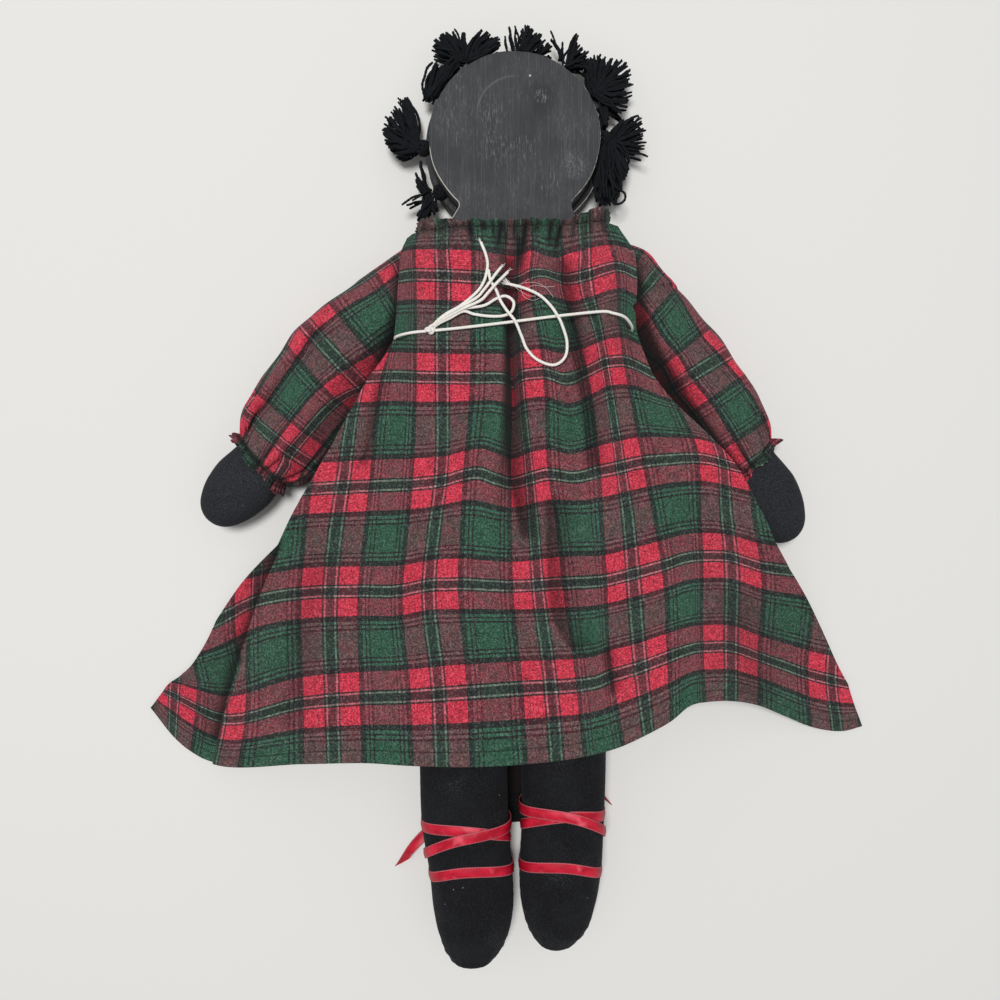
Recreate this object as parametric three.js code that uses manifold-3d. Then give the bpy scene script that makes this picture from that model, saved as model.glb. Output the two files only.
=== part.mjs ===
// A folk doll that lies face down: a sawn wooden head with yarn tufts, a stuffed cloth body, a gathered
// tartan dress, a cotton string tied round the chest and satin ribbons wound round the legs.
// Millimetres. +Y runs towards the head, +Z up from the surface towards the doll's back, +X to its right side.
import * as THREE from 'three';
import { mergeVertices } from 'three/addons/utils/BufferGeometryUtils.js';
import Module from 'manifold-3d';

const wasm = await Module();
wasm.setup();

// Clearances
const SEAT = 0.35; // between pieces that touch on the real doll
const SOCKET_EASE = 0.5; // round the ball of a limb in the torso
const CLOTH_EASE = 0.8; // between the body and the cloth over it

// Wooden head
const BOARD_THICKNESS = 12.6;
const HEAD_RADIUS = 46.3;
const FACE_RIM = 2.9; // how far the face board stands past the round of the head board
const HEAD_X = 0.6;
const NECK_Y = 159.7; // where the round of the head meets the neck
const NECK_HALF_WIDTH = 29;
const TAB_HALF_WIDTH = 42;
const TAB_SLOPE = 20; // how far the neck runs down while it widens to the tab
const TAB_LENGTH = 28;
const EDGE_ROUNDING = 0.8;

// Yarn hair
const TUFT_ROOT = 3.2;
const TUFT_THICKNESS = 13;
const TIE_RADIUS = 4.6;

// Stuffed body
const SHOULDER_X = 62;
const SHOULDER_Y = 114;
const ARM_BALL = 11;
const ARM_BALL_HEIGHT = 12;
const ARM_LENGTH = 168.5;
const HAND_LENGTH = 46;
const HAND_HALF_WIDTH = 18.8;
const WRIST_HALF_WIDTH = 16.4;
const ARM_ROOT_Z = 18;
const HAND_Z = 15;
const HAND_HALF_HEIGHT = 11;
const LEFT_ARM_ANGLE = 39.4; // degrees from straight down
const RIGHT_ARM_ANGLE = 35.4;
const HIP_X = 26;
const HIP_Y = -30;
const LEG_BALL = 22;
const LEG_BALL_HEIGHT = 17;
const LEG_FRONT_Z = 3.2;
const LEG_BACK_Z = 38.3;

// Dress
const CLOTH = 1; // thickness of the flannel
const NECK_LINE_Y = 145;
const NECK_LINE_HALF_WIDTH = 51.5;
const NECK_FRONT_DROP = 8;
const FRILL_HEIGHT = 5;
const FRILL_WAVE = 1.1;
const NECK_FRILL_WAVES = 20;
const CUFF_FRILL_WAVES = 12;
const ELASTIC_RADIUS = 0.9;
const ARMHOLE_RADIUS = 18.5;
const CUFF_ABOVE_WRIST = 3.9; // the sleeve's elastic holds the arm this far above the wrist
const SLEEVE_TOP_Z = 34.8;
const CUFF_TILT = 0.2; // the cuff runs further down on the inner side
const CUFF_HEIGHT = 7.5;
const CUFF_FLARE = 8;
const SIDE_Z = 34; // height of the back panel's edge at the armhole
const FLAP_Z = 38.4; // height of the back panel's edge where it lies over a sleeve
const FLAP_GAP = 1.6; // between the folded edges of the two panels
const HEM_Z = 2.3;
const SKIRT_FOLD = 3.2;

// String and ribbons
const STRING_RADIUS = 0.8;
const KNOT_RADIUS = 2.8;
const BUNDLE_RADIUS = 2.4;
const RIBBON_WIDTH = 5.7;
const RIBBON_THICKNESS = 0.5;
const RIBBON_STEPS_PER_TURN = 24;

// Colours of the finishes
const FINISH = {
  paintedWood: { color: 0x4d4e50, roughness: 0.7 },
  yarn: { color: 0x14181b, roughness: 0.95 },
  blackCotton: { color: 0x17181a, roughness: 0.9 },
  tartan: { color: 0x7d4144, roughness: 0.9 },
  elastic: { color: 0x2c3a34, roughness: 0.9 },
  string: { color: 0xe8e6df, roughness: 0.85 },
  satin: { color: 0xb3182c, roughness: 0.4 },
};

const clamp01 = (t) => Math.min(1, Math.max(0, t));
const mix = (a, b, t) => a + (b - a) * t;
const smooth = (t) => clamp01(t) ** 2 * (3 - 2 * clamp01(t));
const radians = (degrees) => (degrees * Math.PI) / 180;
const signedPower = (v, power) => Math.sign(v) * Math.abs(v) ** power;

// Reads column `column` of rows sorted by their first value, straight between neighbours.
function lookUp(rows, at, column) {
  const rising = rows[0][0] < rows[rows.length - 1][0];
  let i = 0;
  while (i < rows.length - 2 && (rising ? at > rows[i + 1][0] : at < rows[i + 1][0])) {
    i += 1;
  }
  const t = clamp01((at - rows[i][0]) / (rows[i + 1][0] - rows[i][0]));
  return mix(rows[i][column], rows[i + 1][column], t);
}

// Solid skins

function signedVolume(positions, triangles) {
  const [a, b, c] = [new THREE.Vector3(), new THREE.Vector3(), new THREE.Vector3()];
  let sum = 0;
  for (let i = 0; i < triangles.length; i += 3) {
    a.fromArray(positions, triangles[i] * 3);
    b.fromArray(positions, triangles[i + 1] * 3);
    c.fromArray(positions, triangles[i + 2] * 3);
    sum += a.dot(b.cross(c));
  }
  return sum / 6;
}

function closedGeometry(positions, triangles) {
  if (signedVolume(positions, triangles) < 0) {
    for (let i = 0; i < triangles.length; i += 3) {
      [triangles[i], triangles[i + 1]] = [triangles[i + 1], triangles[i]];
    }
  }
  const geometry = new THREE.BufferGeometry();
  geometry.setAttribute('position', new THREE.Float32BufferAttribute(positions, 3));
  geometry.setIndex(triangles);
  return geometry;
}

// Joins rings of points into a skin. A looped skin joins its last ring to its first, an open one is capped.
function skin(rings, looped = false) {
  const count = rings[0].length;
  const positions = rings.flat().flatMap((p) => [p.x, p.y, p.z]);
  const triangles = [];
  const steps = looped ? rings.length : rings.length - 1;
  for (let i = 0; i < steps; i += 1) {
    const here = i * count;
    const next = ((i + 1) % rings.length) * count;
    for (let j = 0; j < count; j += 1) {
      const k = (j + 1) % count;
      triangles.push(here + j, here + k, next + k, here + j, next + k, next + j);
    }
  }
  if (!looped) {
    for (const [ring, flip] of [[0, true], [rings.length - 1, false]]) {
      const middle = new THREE.Vector3();
      rings[ring].forEach((p) => middle.addScaledVector(p, 1 / count));
      const centre = positions.length / 3;
      positions.push(middle.x, middle.y, middle.z);
      for (let j = 0; j < count; j += 1) {
        const a = ring * count + j;
        const b = ring * count + ((j + 1) % count);
        triangles.push(centre, ...(flip ? [b, a] : [a, b]));
      }
    }
  }
  return closedGeometry(positions, triangles);
}

// Gives a grid of points a thickness along its own normals.
function sheet(grid, thickness) {
  const rows = grid.length;
  const columns = grid[0].length;
  const at = (i, j) => grid[Math.min(rows - 1, Math.max(0, i))][Math.min(columns - 1, Math.max(0, j))];
  const positions = [];
  for (const side of [0.5, -0.5]) {
    for (let i = 0; i < rows; i += 1) {
      for (let j = 0; j < columns; j += 1) {
        const across = at(i, j + 1).clone().sub(at(i, j - 1));
        const down = at(i + 1, j).clone().sub(at(i - 1, j));
        const normal = down.cross(across).normalize();
        const p = at(i, j).clone().addScaledVector(normal, side * thickness);
        positions.push(p.x, p.y, p.z);
      }
    }
  }
  const index = (side, i, j) => side * rows * columns + i * columns + j;
  const triangles = [];
  const quad = (a, b, c, d) => triangles.push(a, b, c, a, c, d);
  for (let i = 0; i < rows - 1; i += 1) {
    for (let j = 0; j < columns - 1; j += 1) {
      quad(index(0, i, j), index(0, i + 1, j), index(0, i + 1, j + 1), index(0, i, j + 1));
      quad(index(1, i, j), index(1, i, j + 1), index(1, i + 1, j + 1), index(1, i + 1, j));
    }
  }
  for (let i = 0; i < rows - 1; i += 1) {
    quad(index(0, i + 1, 0), index(0, i, 0), index(1, i, 0), index(1, i + 1, 0));
    const last = columns - 1;
    quad(index(0, i, last), index(0, i + 1, last), index(1, i + 1, last), index(1, i, last));
  }
  for (let j = 0; j < columns - 1; j += 1) {
    quad(index(0, 0, j), index(0, 0, j + 1), index(1, 0, j + 1), index(1, 0, j));
    const last = rows - 1;
    quad(index(0, last, j + 1), index(0, last, j), index(1, last, j), index(1, last, j + 1));
  }
  return closedGeometry(positions, triangles);
}

// Round section used by tubes.
function roundShape(radius, sides) {
  const corners = [];
  for (let i = 0; i < sides; i += 1) {
    const a = (2 * Math.PI * i) / sides;
    corners.push(new THREE.Vector2(radius * Math.cos(a), radius * Math.sin(a)));
  }
  return new THREE.Shape(corners);
}

function cordTube(points, radius, steps) {
  const path = new THREE.CatmullRomCurve3(points.map((p) => new THREE.Vector3(...p)), false, 'centripetal');
  return new THREE.ExtrudeGeometry(roundShape(radius, 8), { steps, extrudePath: path, bevelEnabled: false });
}

function toSolid(geometry) {
  const plain = geometry.clone();
  plain.deleteAttribute('normal');
  plain.deleteAttribute('uv');
  const merged = mergeVertices(plain, 1e-4);
  return new wasm.Manifold(new wasm.Mesh({
    numProp: 3,
    vertProperties: Float32Array.from(merged.attributes.position.array),
    triVerts: Uint32Array.from(merged.index.array),
  }));
}

function toGeometry(solid) {
  const mesh = solid.getMesh();
  return closedGeometry(Array.from(mesh.vertProperties), Array.from(mesh.triVerts));
}

const doll = new THREE.Group();
doll.name = 'folk_doll';

function addPiece(name, geometry, finish) {
  const mesh = new THREE.Mesh(geometry, new THREE.MeshStandardMaterial(finish));
  mesh.name = name;
  doll.add(mesh);
  return mesh;
}

// Wooden head: a round face board under a head board whose neck widens to a tab inside the body.

const FACE_RADIUS = HEAD_RADIUS + FACE_RIM;
const HEAD_Y = NECK_Y + Math.sqrt(HEAD_RADIUS ** 2 - NECK_HALF_WIDTH ** 2);
const HEAD_BOARD_Z = BOARD_THICKNESS + SEAT;
const HEAD_TOP_Z = HEAD_BOARD_Z + BOARD_THICKNESS;

function board(shape, thickness, z) {
  const geometry = new THREE.ExtrudeGeometry(shape, {
    depth: thickness - 2 * EDGE_ROUNDING,
    bevelEnabled: true,
    bevelThickness: EDGE_ROUNDING,
    bevelSize: EDGE_ROUNDING,
    bevelOffset: -EDGE_ROUNDING,
    bevelSegments: 1,
    curveSegments: 22,
  });
  geometry.translate(HEAD_X, HEAD_Y, z + EDGE_ROUNDING);
  return geometry;
}

function headShape(grow) {
  const neck = Math.asin((NECK_Y - HEAD_Y) / HEAD_RADIUS);
  const tabTop = NECK_Y - TAB_SLOPE - HEAD_Y;
  const tabEnd = tabTop - TAB_LENGTH - grow;
  const half = TAB_HALF_WIDTH + grow;
  const shape = new THREE.Shape();
  shape.absarc(0, 0, HEAD_RADIUS + grow, neck, Math.PI - neck, false);
  shape.lineTo(-half, tabTop);
  shape.lineTo(-half, tabEnd);
  shape.lineTo(half, tabEnd);
  shape.lineTo(half, tabTop);
  return shape;
}

function faceShape() {
  const shape = new THREE.Shape();
  shape.absarc(0, 0, FACE_RADIUS, 0, 2 * Math.PI, false);
  return shape;
}

addPiece('head_board', board(headShape(0), BOARD_THICKNESS, HEAD_BOARD_Z), FINISH.paintedWood);
addPiece('face_board', board(faceShape(), BOARD_THICKNESS, 0), FINISH.paintedWood);

// Yarn tufts: each spreads from its root at the rim to its cut ends. Rows give the root's place round the
// head in degrees, the reach of the ends from the root, their half width and a sideways lean in degrees.

const TUFTS = [
  { name: 'hair_tuft_1', round: 179, reach: 20, half: 13, lean: -38, tie: 'hair_tie_1' },
  { name: 'hair_tuft_2', round: 211, reach: 15, half: 10, lean: -4, tie: 'hair_tie_2' },
  { name: 'hair_tuft_3', round: 145, reach: 9, half: 9, lean: 0 },
  { name: 'hair_tuft_4', round: 124, reach: 17, half: 7.5, lean: 8 },
  { name: 'hair_tuft_5', round: 104.5, reach: 13, half: 7.5, lean: -8 },
  { name: 'hair_tuft_6', round: 84, reach: 15, half: 9, lean: 0 },
  { name: 'hair_tuft_7', round: 69, reach: 8, half: 3.6, lean: 0 },
  { name: 'hair_tuft_8', round: 54, reach: 15, half: 8.5, lean: 4 },
  { name: 'hair_tuft_9', round: 30, reach: 17, half: 13, lean: -4 },
  { name: 'hair_tuft_10', round: -3, reach: 22, half: 15, lean: -26, tie: 'hair_tie_3' },
];
const TUFT_SPREAD = [[0, 0, 0.45], [0.3, 0.55, 0.85], [0.65, 0.9, 1], [0.9, 1, 0.85], [1, 0.8, 0.55]];

function tuftSolid(rootX, rootY, z, heading, reach, half) {
  const rings = TUFT_SPREAD.map(([share, wide, tall]) => {
    const ring = [];
    const spread = mix(TUFT_ROOT, half, wide);
    for (let k = 0; k < 10; k += 1) {
      const a = (2 * Math.PI * k) / 10;
      const side = spread * Math.cos(a);
      ring.push(new THREE.Vector3(
        rootX + Math.cos(heading) * share * reach - Math.sin(heading) * side,
        rootY + Math.sin(heading) * share * reach + Math.cos(heading) * side,
        z + 0.5 * TUFT_THICKNESS * tall * Math.sin(a),
      ));
    }
    return ring;
  });
  return skin(rings);
}

for (const tuft of TUFTS) {
  const round = radians(tuft.round);
  const heading = round + radians(tuft.lean);
  const rootTilt = TUFT_ROOT * Math.abs(Math.sin(heading - round));
  const rimRadius = FACE_RADIUS + SEAT + (tuft.tie ? TIE_RADIUS : rootTilt);
  let rootX = HEAD_X + rimRadius * Math.cos(round);
  let rootY = HEAD_Y + rimRadius * Math.sin(round);
  if (tuft.tie) {
    const ball = new THREE.SphereGeometry(TIE_RADIUS, 10, 7);
    ball.translate(rootX, rootY, HEAD_BOARD_Z);
    addPiece(tuft.tie, ball, FINISH.yarn);
    rootX += (TIE_RADIUS + SEAT) * Math.cos(heading);
    rootY += (TIE_RADIUS + SEAT) * Math.sin(heading);
  }
  addPiece(tuft.name, tuftSolid(rootX, rootY, HEAD_BOARD_Z, heading, tuft.reach, tuft.half), FINISH.yarn);
}

// Stuffed body. A section is a rounded oval; the rows of the torso give y, half width, front z and back z.

function ovalRing(count, fullness, place) {
  const ring = [];
  for (let k = 0; k < count; k += 1) {
    const a = (2 * Math.PI * k) / count;
    const across = signedPower(Math.cos(a), 2 / fullness);
    const up = signedPower(Math.sin(a), 2 / fullness);
    ring.push(place(across, up));
  }
  return ring;
}

const TORSO_FULLNESS = 2.4;
const TORSO = [
  [145, 43, 10, 29], [142, 46, 8.5, 32], [136, 48, 6.5, 36], [128, 52, 5, 40], [116, 54, 4, 43],
  [102, 54, 3.6, 44.6], [86, 53.5, 3.4, 45], [62, 54, 3.4, 45], [34, 53, 3.4, 44.5], [6, 51, 3.4, 43],
  [-9, 48, 4.5, 41], [-17, 42, 8, 36], [-21, 30, 13, 30],
];

function torsoSolid() {
  const rings = TORSO.map(([y, half, low, high]) => ovalRing(28, TORSO_FULLNESS, (across, up) => (
    new THREE.Vector3(half * across, y, (low + high) / 2 + ((high - low) / 2) * up)
  )));
  let torso = toSolid(skin(rings));
  const pocket = new THREE.ExtrudeGeometry(headShape(SEAT), {
    depth: BOARD_THICKNESS + 2 * SEAT,
    bevelEnabled: false,
    curveSegments: 22,
  });
  pocket.translate(HEAD_X, HEAD_Y, HEAD_BOARD_Z - SEAT);
  torso = torso.subtract(toSolid(pocket));
  const socket = (x, y, z, radius, height) => {
    const ball = new THREE.SphereGeometry(1, 28, 16);
    ball.rotateX(Math.PI / 2);
    ball.scale(radius + SOCKET_EASE, radius + SOCKET_EASE, height + SOCKET_EASE);
    ball.translate(x, y, z);
    return toSolid(ball);
  };
  for (const side of [-1, 1]) {
    torso = torso.subtract(socket(side * SHOULDER_X, SHOULDER_Y, ARM_ROOT_Z, ARM_BALL, ARM_BALL_HEIGHT));
    torso = torso.subtract(socket(side * HIP_X, HIP_Y, HIP_Z, LEG_BALL, LEG_BALL_HEIGHT));
  }
  return toGeometry(torso);
}

const HIP_Z = (LEG_FRONT_Z + LEG_BACK_Z) / 2;
addPiece('torso', torsoSolid(), FINISH.blackCotton);

// Arm frame: `along` runs from the shoulder to the hand, `inward` towards the body.
function armFrame(side, angle) {
  const a = radians(angle);
  return (along, inward, z) => new THREE.Vector3(
    side * (SHOULDER_X + Math.sin(a) * along - Math.cos(a) * inward),
    SHOULDER_Y - Math.cos(a) * along - Math.sin(a) * inward,
    z,
  );
}

// Rings of a ball that turns about the upright axis at the root of a limb.
function ballRows(radius, height) {
  return [-0.985, -0.85, -0.6, -0.3].map((share) => {
    const k = Math.sqrt(1 - share ** 2);
    return [share * radius, radius * k, height * k];
  });
}

const WRIST = ARM_LENGTH - HAND_LENGTH;
const SLEEVE_LENGTH = WRIST - CUFF_ABOVE_WRIST;
const ARM = [
  ...ballRows(ARM_BALL, ARM_BALL_HEIGHT),
  [0, ARM_BALL, ARM_BALL_HEIGHT],
  [SLEEVE_LENGTH * 0.2, ARM_BALL + 0.3, ARM_BALL_HEIGHT],
  [SLEEVE_LENGTH * 0.55, ARM_BALL + 4, ARM_BALL_HEIGHT],
  [WRIST, WRIST_HALF_WIDTH, HAND_HALF_HEIGHT],
  [ARM_LENGTH - HAND_HALF_WIDTH * 1.2, HAND_HALF_WIDTH, HAND_HALF_HEIGHT],
  [ARM_LENGTH - HAND_HALF_WIDTH * 0.6, HAND_HALF_WIDTH * 0.86, HAND_HALF_HEIGHT * 0.88],
  [ARM_LENGTH - HAND_HALF_WIDTH * 0.2, HAND_HALF_WIDTH * 0.55, HAND_HALF_HEIGHT * 0.6],
  [ARM_LENGTH, HAND_HALF_WIDTH * 0.15, HAND_HALF_HEIGHT * 0.18],
];
const armZ = (along) => mix(ARM_ROOT_Z, HAND_Z, clamp01(along / WRIST));

function armSolid(frame) {
  return skin(ARM.map(([along, half, height]) => ovalRing(18, 2, (across, up) => (
    frame(along, half * across, armZ(along) + height * up)
  ))));
}

// Sleeve rows: along, outer half width, inner half width, low z and high z. The root follows the armhole's arc.
const SLEEVE_WRIST = WRIST_HALF_WIDTH + SEAT + ELASTIC_RADIUS * 2;
const SLEEVE_ROOT = ARMHOLE_RADIUS + SEAT + 0.2;
const SLEEVE = [
  [0, SLEEVE_ROOT * 0.92, ARM_BALL + 1.8, 3, SLEEVE_TOP_Z],
  [24, 24, ARM_BALL + 3.2, 2, SLEEVE_TOP_Z],
  [41, 28, 19, 1.4, SLEEVE_TOP_Z],
  [58, 30, 25, 1.2, SLEEVE_TOP_Z - 0.4],
  [80, 28.5, 27.5, 1.2, SLEEVE_TOP_Z - 1],
  [SLEEVE_LENGTH - 18, 26, 27, 1.5, SLEEVE_TOP_Z - 3],
  [SLEEVE_LENGTH - 5, 22.5, 23.5, 2, HAND_Z + HAND_HALF_HEIGHT + 3.5],
  [SLEEVE_LENGTH, SLEEVE_WRIST + CLOTH, SLEEVE_WRIST + CLOTH, 2, HAND_Z + HAND_HALF_HEIGHT + SEAT + 3],
];
const cuffShear = (along) => CUFF_TILT * smooth(along / SLEEVE_LENGTH);

function sleeveRing(frame, row, wall, index) {
  const [along, outer, inner, low, high] = row;
  return ovalRing(20, 2.3, (across, up) => {
    const inward = across > 0 ? (inner - wall) * across : (outer - wall) * across;
    const z = (low + high) / 2 + ((high - low) / 2 - wall) * up;
    const arc = Math.sqrt(SLEEVE_ROOT ** 2 - inward ** 2);
    return frame(index === 0 ? arc : along + cuffShear(along) * inward, inward, z);
  });
}

function sleeveSolid(frame) {
  const outside = SLEEVE.map((row, i) => sleeveRing(frame, row, 0, i));
  const inside = SLEEVE.map((row, i) => sleeveRing(frame, row, CLOTH, i));
  return skin([...outside, ...inside.reverse()], true);
}

// A band round the wrist, given as closed rings of its section.
function wristLoop(count, fullness, place) {
  return Array.from({ length: count }, (_, k) => {
    const a = (2 * Math.PI * k) / count;
    return place(
      signedPower(Math.cos(a), 2 / fullness),
      signedPower(Math.sin(a), 2 / fullness),
      a,
    );
  });
}

function wristElastic(frame) {
  const along = SLEEVE_LENGTH + SEAT + ELASTIC_RADIUS;
  const wide = WRIST_HALF_WIDTH + SEAT + ELASTIC_RADIUS;
  const tall = HAND_HALF_HEIGHT + SEAT + ELASTIC_RADIUS;
  return skin(wristLoop(22, 2, (across, up) => {
    const section = [];
    for (let k = 0; k < 6; k += 1) {
      const a = (2 * Math.PI * k) / 6;
      const grow = 1 + (ELASTIC_RADIUS * Math.cos(a)) / wide;
      const inward = wide * grow * across;
      const shift = cuffShear(along) * inward + ELASTIC_RADIUS * Math.sin(a);
      const z = armZ(along) + (tall + ELASTIC_RADIUS * Math.cos(a)) * up;
      section.push(frame(along + shift, inward, z));
    }
    return section;
  }), true);
}

function cuffFrill(frame) {
  const start = SLEEVE_LENGTH + 2 * (SEAT + ELASTIC_RADIUS);
  return skin(wristLoop(CUFF_FRILL_WAVES * 4, 2, (across, up, a) => {
    const wave = FRILL_WAVE * Math.cos(CUFF_FRILL_WAVES * a);
    const edge = (share, wall) => {
      const along = start + CUFF_HEIGHT * share;
      const wide = WRIST_HALF_WIDTH + 2.6 + CUFF_FLARE * share + wave * share + wall;
      const tall = HAND_HALF_HEIGHT + 1.4 + wave * share * 0.6 + wall;
      const inward = wide * across;
      return frame(along + cuffShear(along) * inward, inward, HAND_Z + tall * up);
    };
    return [edge(0, 0), edge(1, 0), edge(1, CLOTH), edge(0, CLOTH)];
  }), true);
}

for (const [name, side, angle] of [['left', -1, LEFT_ARM_ANGLE], ['right', 1, RIGHT_ARM_ANGLE]]) {
  const frame = armFrame(side, angle);
  addPiece(`${name}_arm`, armSolid(frame), FINISH.blackCotton);
  addPiece(`${name}_sleeve`, sleeveSolid(frame), FINISH.tartan);
  addPiece(`${name}_wrist_elastic`, wristElastic(frame), FINISH.elastic);
  addPiece(`${name}_cuff_frill`, cuffFrill(frame), FINISH.tartan);
}

// Legs. Rows give y, the centre's x away from the middle, half width, front z and back z.
const LEGS = {
  left: [
    [-60, 26.5, 23, LEG_FRONT_Z, LEG_BACK_Z], [-100, 27, 23.8, LEG_FRONT_Z, LEG_BACK_Z],
    [-146, 27, 24, LEG_FRONT_Z, LEG_BACK_Z - 0.6], [-178, 26, 23.7, LEG_FRONT_Z, LEG_BACK_Z - 1.5],
    [-203, 23, 22.7, LEG_FRONT_Z, LEG_BACK_Z - 3], [-224, 21.8, 21.7, LEG_FRONT_Z, LEG_BACK_Z - 5],
    [-239, 21.8, 18.4, 3.6, 30.5], [-249, 22.3, 13.3, 7, 26.5], [-254.5, 22.8, 7.4, 11, 22.5],
    [-256.5, 23, 1.5, 15, 18],
  ],
  right: [
    [-60, 26.5, 22.6, LEG_FRONT_Z, LEG_BACK_Z], [-100, 27, 23, LEG_FRONT_Z, LEG_BACK_Z],
    [-146, 27.2, 23, LEG_FRONT_Z, LEG_BACK_Z - 0.6], [-178, 26.7, 22.4, LEG_FRONT_Z, LEG_BACK_Z - 1.5],
    [-203, 25.4, 22.3, LEG_FRONT_Z, LEG_BACK_Z - 3], [-221, 24.6, 20.2, LEG_FRONT_Z, LEG_BACK_Z - 6],
    [-233, 24.4, 16.6, 4, 29.5], [-240.5, 23.8, 11.8, 8, 25.5], [-245, 23.2, 6.4, 11.5, 22],
    [-246.7, 23, 1.4, 15, 18],
  ],
};
const LEG_FULLNESS = 2.1;

function legRows(name) {
  const ball = ballRows(LEG_BALL, LEG_BALL_HEIGHT).concat([[0, LEG_BALL, LEG_BALL_HEIGHT]]);
  const root = ball.map(([along, half, tall]) => [HIP_Y - along, HIP_X, half, HIP_Z - tall, HIP_Z + tall]);
  return [...root, ...LEGS[name]];
}

// A point on a leg's skin, or `off` outside it, at a height y and an angle round the leg.
function legPoint(name, side, y, angle, off) {
  const rows = LEGS[name];
  const [centre, half, low, high] = [1, 2, 3, 4].map((column) => lookUp(rows, y, column));
  const across = signedPower(Math.cos(angle), 2 / LEG_FULLNESS);
  const up = signedPower(Math.sin(angle), 2 / LEG_FULLNESS);
  return new THREE.Vector3(
    side * centre + (half + off) * across,
    y,
    (low + high) / 2 + ((high - low) / 2 + off) * up,
  );
}

function legSolid(name, side) {
  return skin(legRows(name).map(([y, centre, half, low, high], i) => {
    const fullness = i < 5 ? 2 : LEG_FULLNESS;
    return ovalRing(20, fullness, (across, up) => new THREE.Vector3(
      side * centre + half * across,
      y,
      (low + high) / 2 + ((high - low) / 2) * up,
    ));
  }));
}

// Ribbon route: quarter turns round the leg from the knot in front, as y values at the front, left, back and
// right of the leg in turn. It winds three times and comes back to the knot.
const RIBBON_ROUTES = {
  left: [-171, -177, -176, -184, -194, -205, -200, -204, -199, -192, -176, -177, -171],
  right: [-163, -167, -167, -181, -190, -197, -195, -202, -188, -178, -167, -171, -163],
};

// The last turn lies over the first where they cross, and comes down again at the knot.
const RIBBON_OVER = RIBBON_THICKNESS + SEAT;
const RIBBON_TURNS = 3;

function ribbonSolid(name, side) {
  const route = RIBBON_ROUTES[name];
  const steps = RIBBON_TURNS * RIBBON_STEPS_PER_TURN;
  const rings = [];
  for (let step = 0; step < steps; step += 1) {
    const quarter = (4 * step) / RIBBON_STEPS_PER_TURN;
    const i = Math.floor(quarter);
    const y = mix(route[i], route[i + 1], smooth(quarter - i));
    const angle = -Math.PI / 2 - (2 * Math.PI * step) / RIBBON_STEPS_PER_TURN;
    const over = RIBBON_OVER * smooth(quarter - 6.6) * smooth(4 * RIBBON_TURNS - quarter);
    const edge = (shift, off) => legPoint(name, side, y + shift, angle, off);
    const half = RIBBON_WIDTH / 2;
    const low = SEAT + over;
    const high = low + RIBBON_THICKNESS;
    rings.push([edge(-half, low), edge(half, low), edge(half, high), edge(-half, high)]);
  }
  return skin(rings, true);
}

// The knot and two tails that lie flat under the leg. The knot reaches up to the ribbon.
const TAIL_ENDS = { left: [[-66, -210], [-30, -196]], right: [[57.5, -173], [14, -178]] };
const TIE_HALF = 4;

function ribbonTie(name, side) {
  const knotY = RIBBON_ROUTES[name][0];
  const knotX = side * lookUp(LEGS[name], knotY, 1);
  const tailZ = LEG_FRONT_Z - 2 * RIBBON_OVER - SEAT - RIBBON_THICKNESS;
  const knotTopZ = LEG_FRONT_Z - RIBBON_OVER - SEAT;
  const flat = (corners, depth) => {
    const shape = new THREE.Shape(corners.map(([x, y]) => new THREE.Vector2(x, y)));
    const geometry = new THREE.ExtrudeGeometry(shape, { depth, bevelEnabled: false });
    geometry.translate(0, 0, tailZ);
    return toSolid(geometry);
  };
  let tie = flat([[-1, -1], [1, -1], [1, 1], [-1, 1]].map(([a, b]) => [
    knotX + a * TIE_HALF,
    knotY + b * TIE_HALF,
  ]), knotTopZ - tailZ);
  for (const [endX, endY] of TAIL_ENDS[name]) {
    const run = new THREE.Vector2(endX - knotX, endY - knotY);
    const across = new THREE.Vector2(-run.y, run.x).setLength(RIBBON_WIDTH / 2);
    tie = tie.add(flat([
      [knotX - across.x, knotY - across.y],
      [endX - across.x, endY - across.y],
      [endX + across.x, endY + across.y],
      [knotX + across.x, knotY + across.y],
    ], RIBBON_THICKNESS));
  }
  return toGeometry(tie);
}

for (const [name, side] of [['left', -1], ['right', 1]]) {
  addPiece(`${name}_leg`, legSolid(name, side), FINISH.blackCotton);
  addPiece(`${name}_ribbon`, ribbonSolid(name, side), FINISH.satin);
  addPiece(`${name}_ribbon_tie`, ribbonTie(name, side), FINISH.satin);
}

// Dress. The side edges of the back panel, from the neckline to the tips of the hem, as y, x and height.
const STRING_Y = 87;
const SKIRT_TOP_Y = 80;
const LEFT_EDGE = [
  [NECK_LINE_Y, -NECK_LINE_HALF_WIDTH, 26], [138, -56, 29], [131, -63, SIDE_Z], [123, -75, SIDE_Z],
  [114, -79, SIDE_Z], [105, -74, SIDE_Z], [96.5, -60, SIDE_Z], [STRING_Y, -60, SIDE_Z],
  [SKIRT_TOP_Y, -61.5, 36], [72, -73, FLAP_Z], [60, -83.5, FLAP_Z], [38, -95, FLAP_Z], [18, -104.5, 35.5],
  [-2, -114, 30], [-24, -127, 20], [-44, -147, 9], [-66, -163, 4], [-90, -181, HEM_Z], [-118.6, -204.5, HEM_Z],
];
const RIGHT_EDGE = [
  [NECK_LINE_Y, NECK_LINE_HALF_WIDTH, 26], [138, 56, 29], [131, 63, SIDE_Z], [123, 75, SIDE_Z],
  [114, 79, SIDE_Z], [105, 74, SIDE_Z], [96.5, 60, SIDE_Z], [STRING_Y, 60, SIDE_Z],
  [SKIRT_TOP_Y, 61.5, 36], [72, 69, FLAP_Z], [60, 76, FLAP_Z], [39, 99.5, FLAP_Z], [22, 113, 37],
  [0, 125.5, 33.5], [-18, 138.5, 30.5], [-42, 155.5, 17], [-64, 169, 7], [-87, 181, HEM_Z], [-129, 199, HEM_Z],
];
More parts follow.
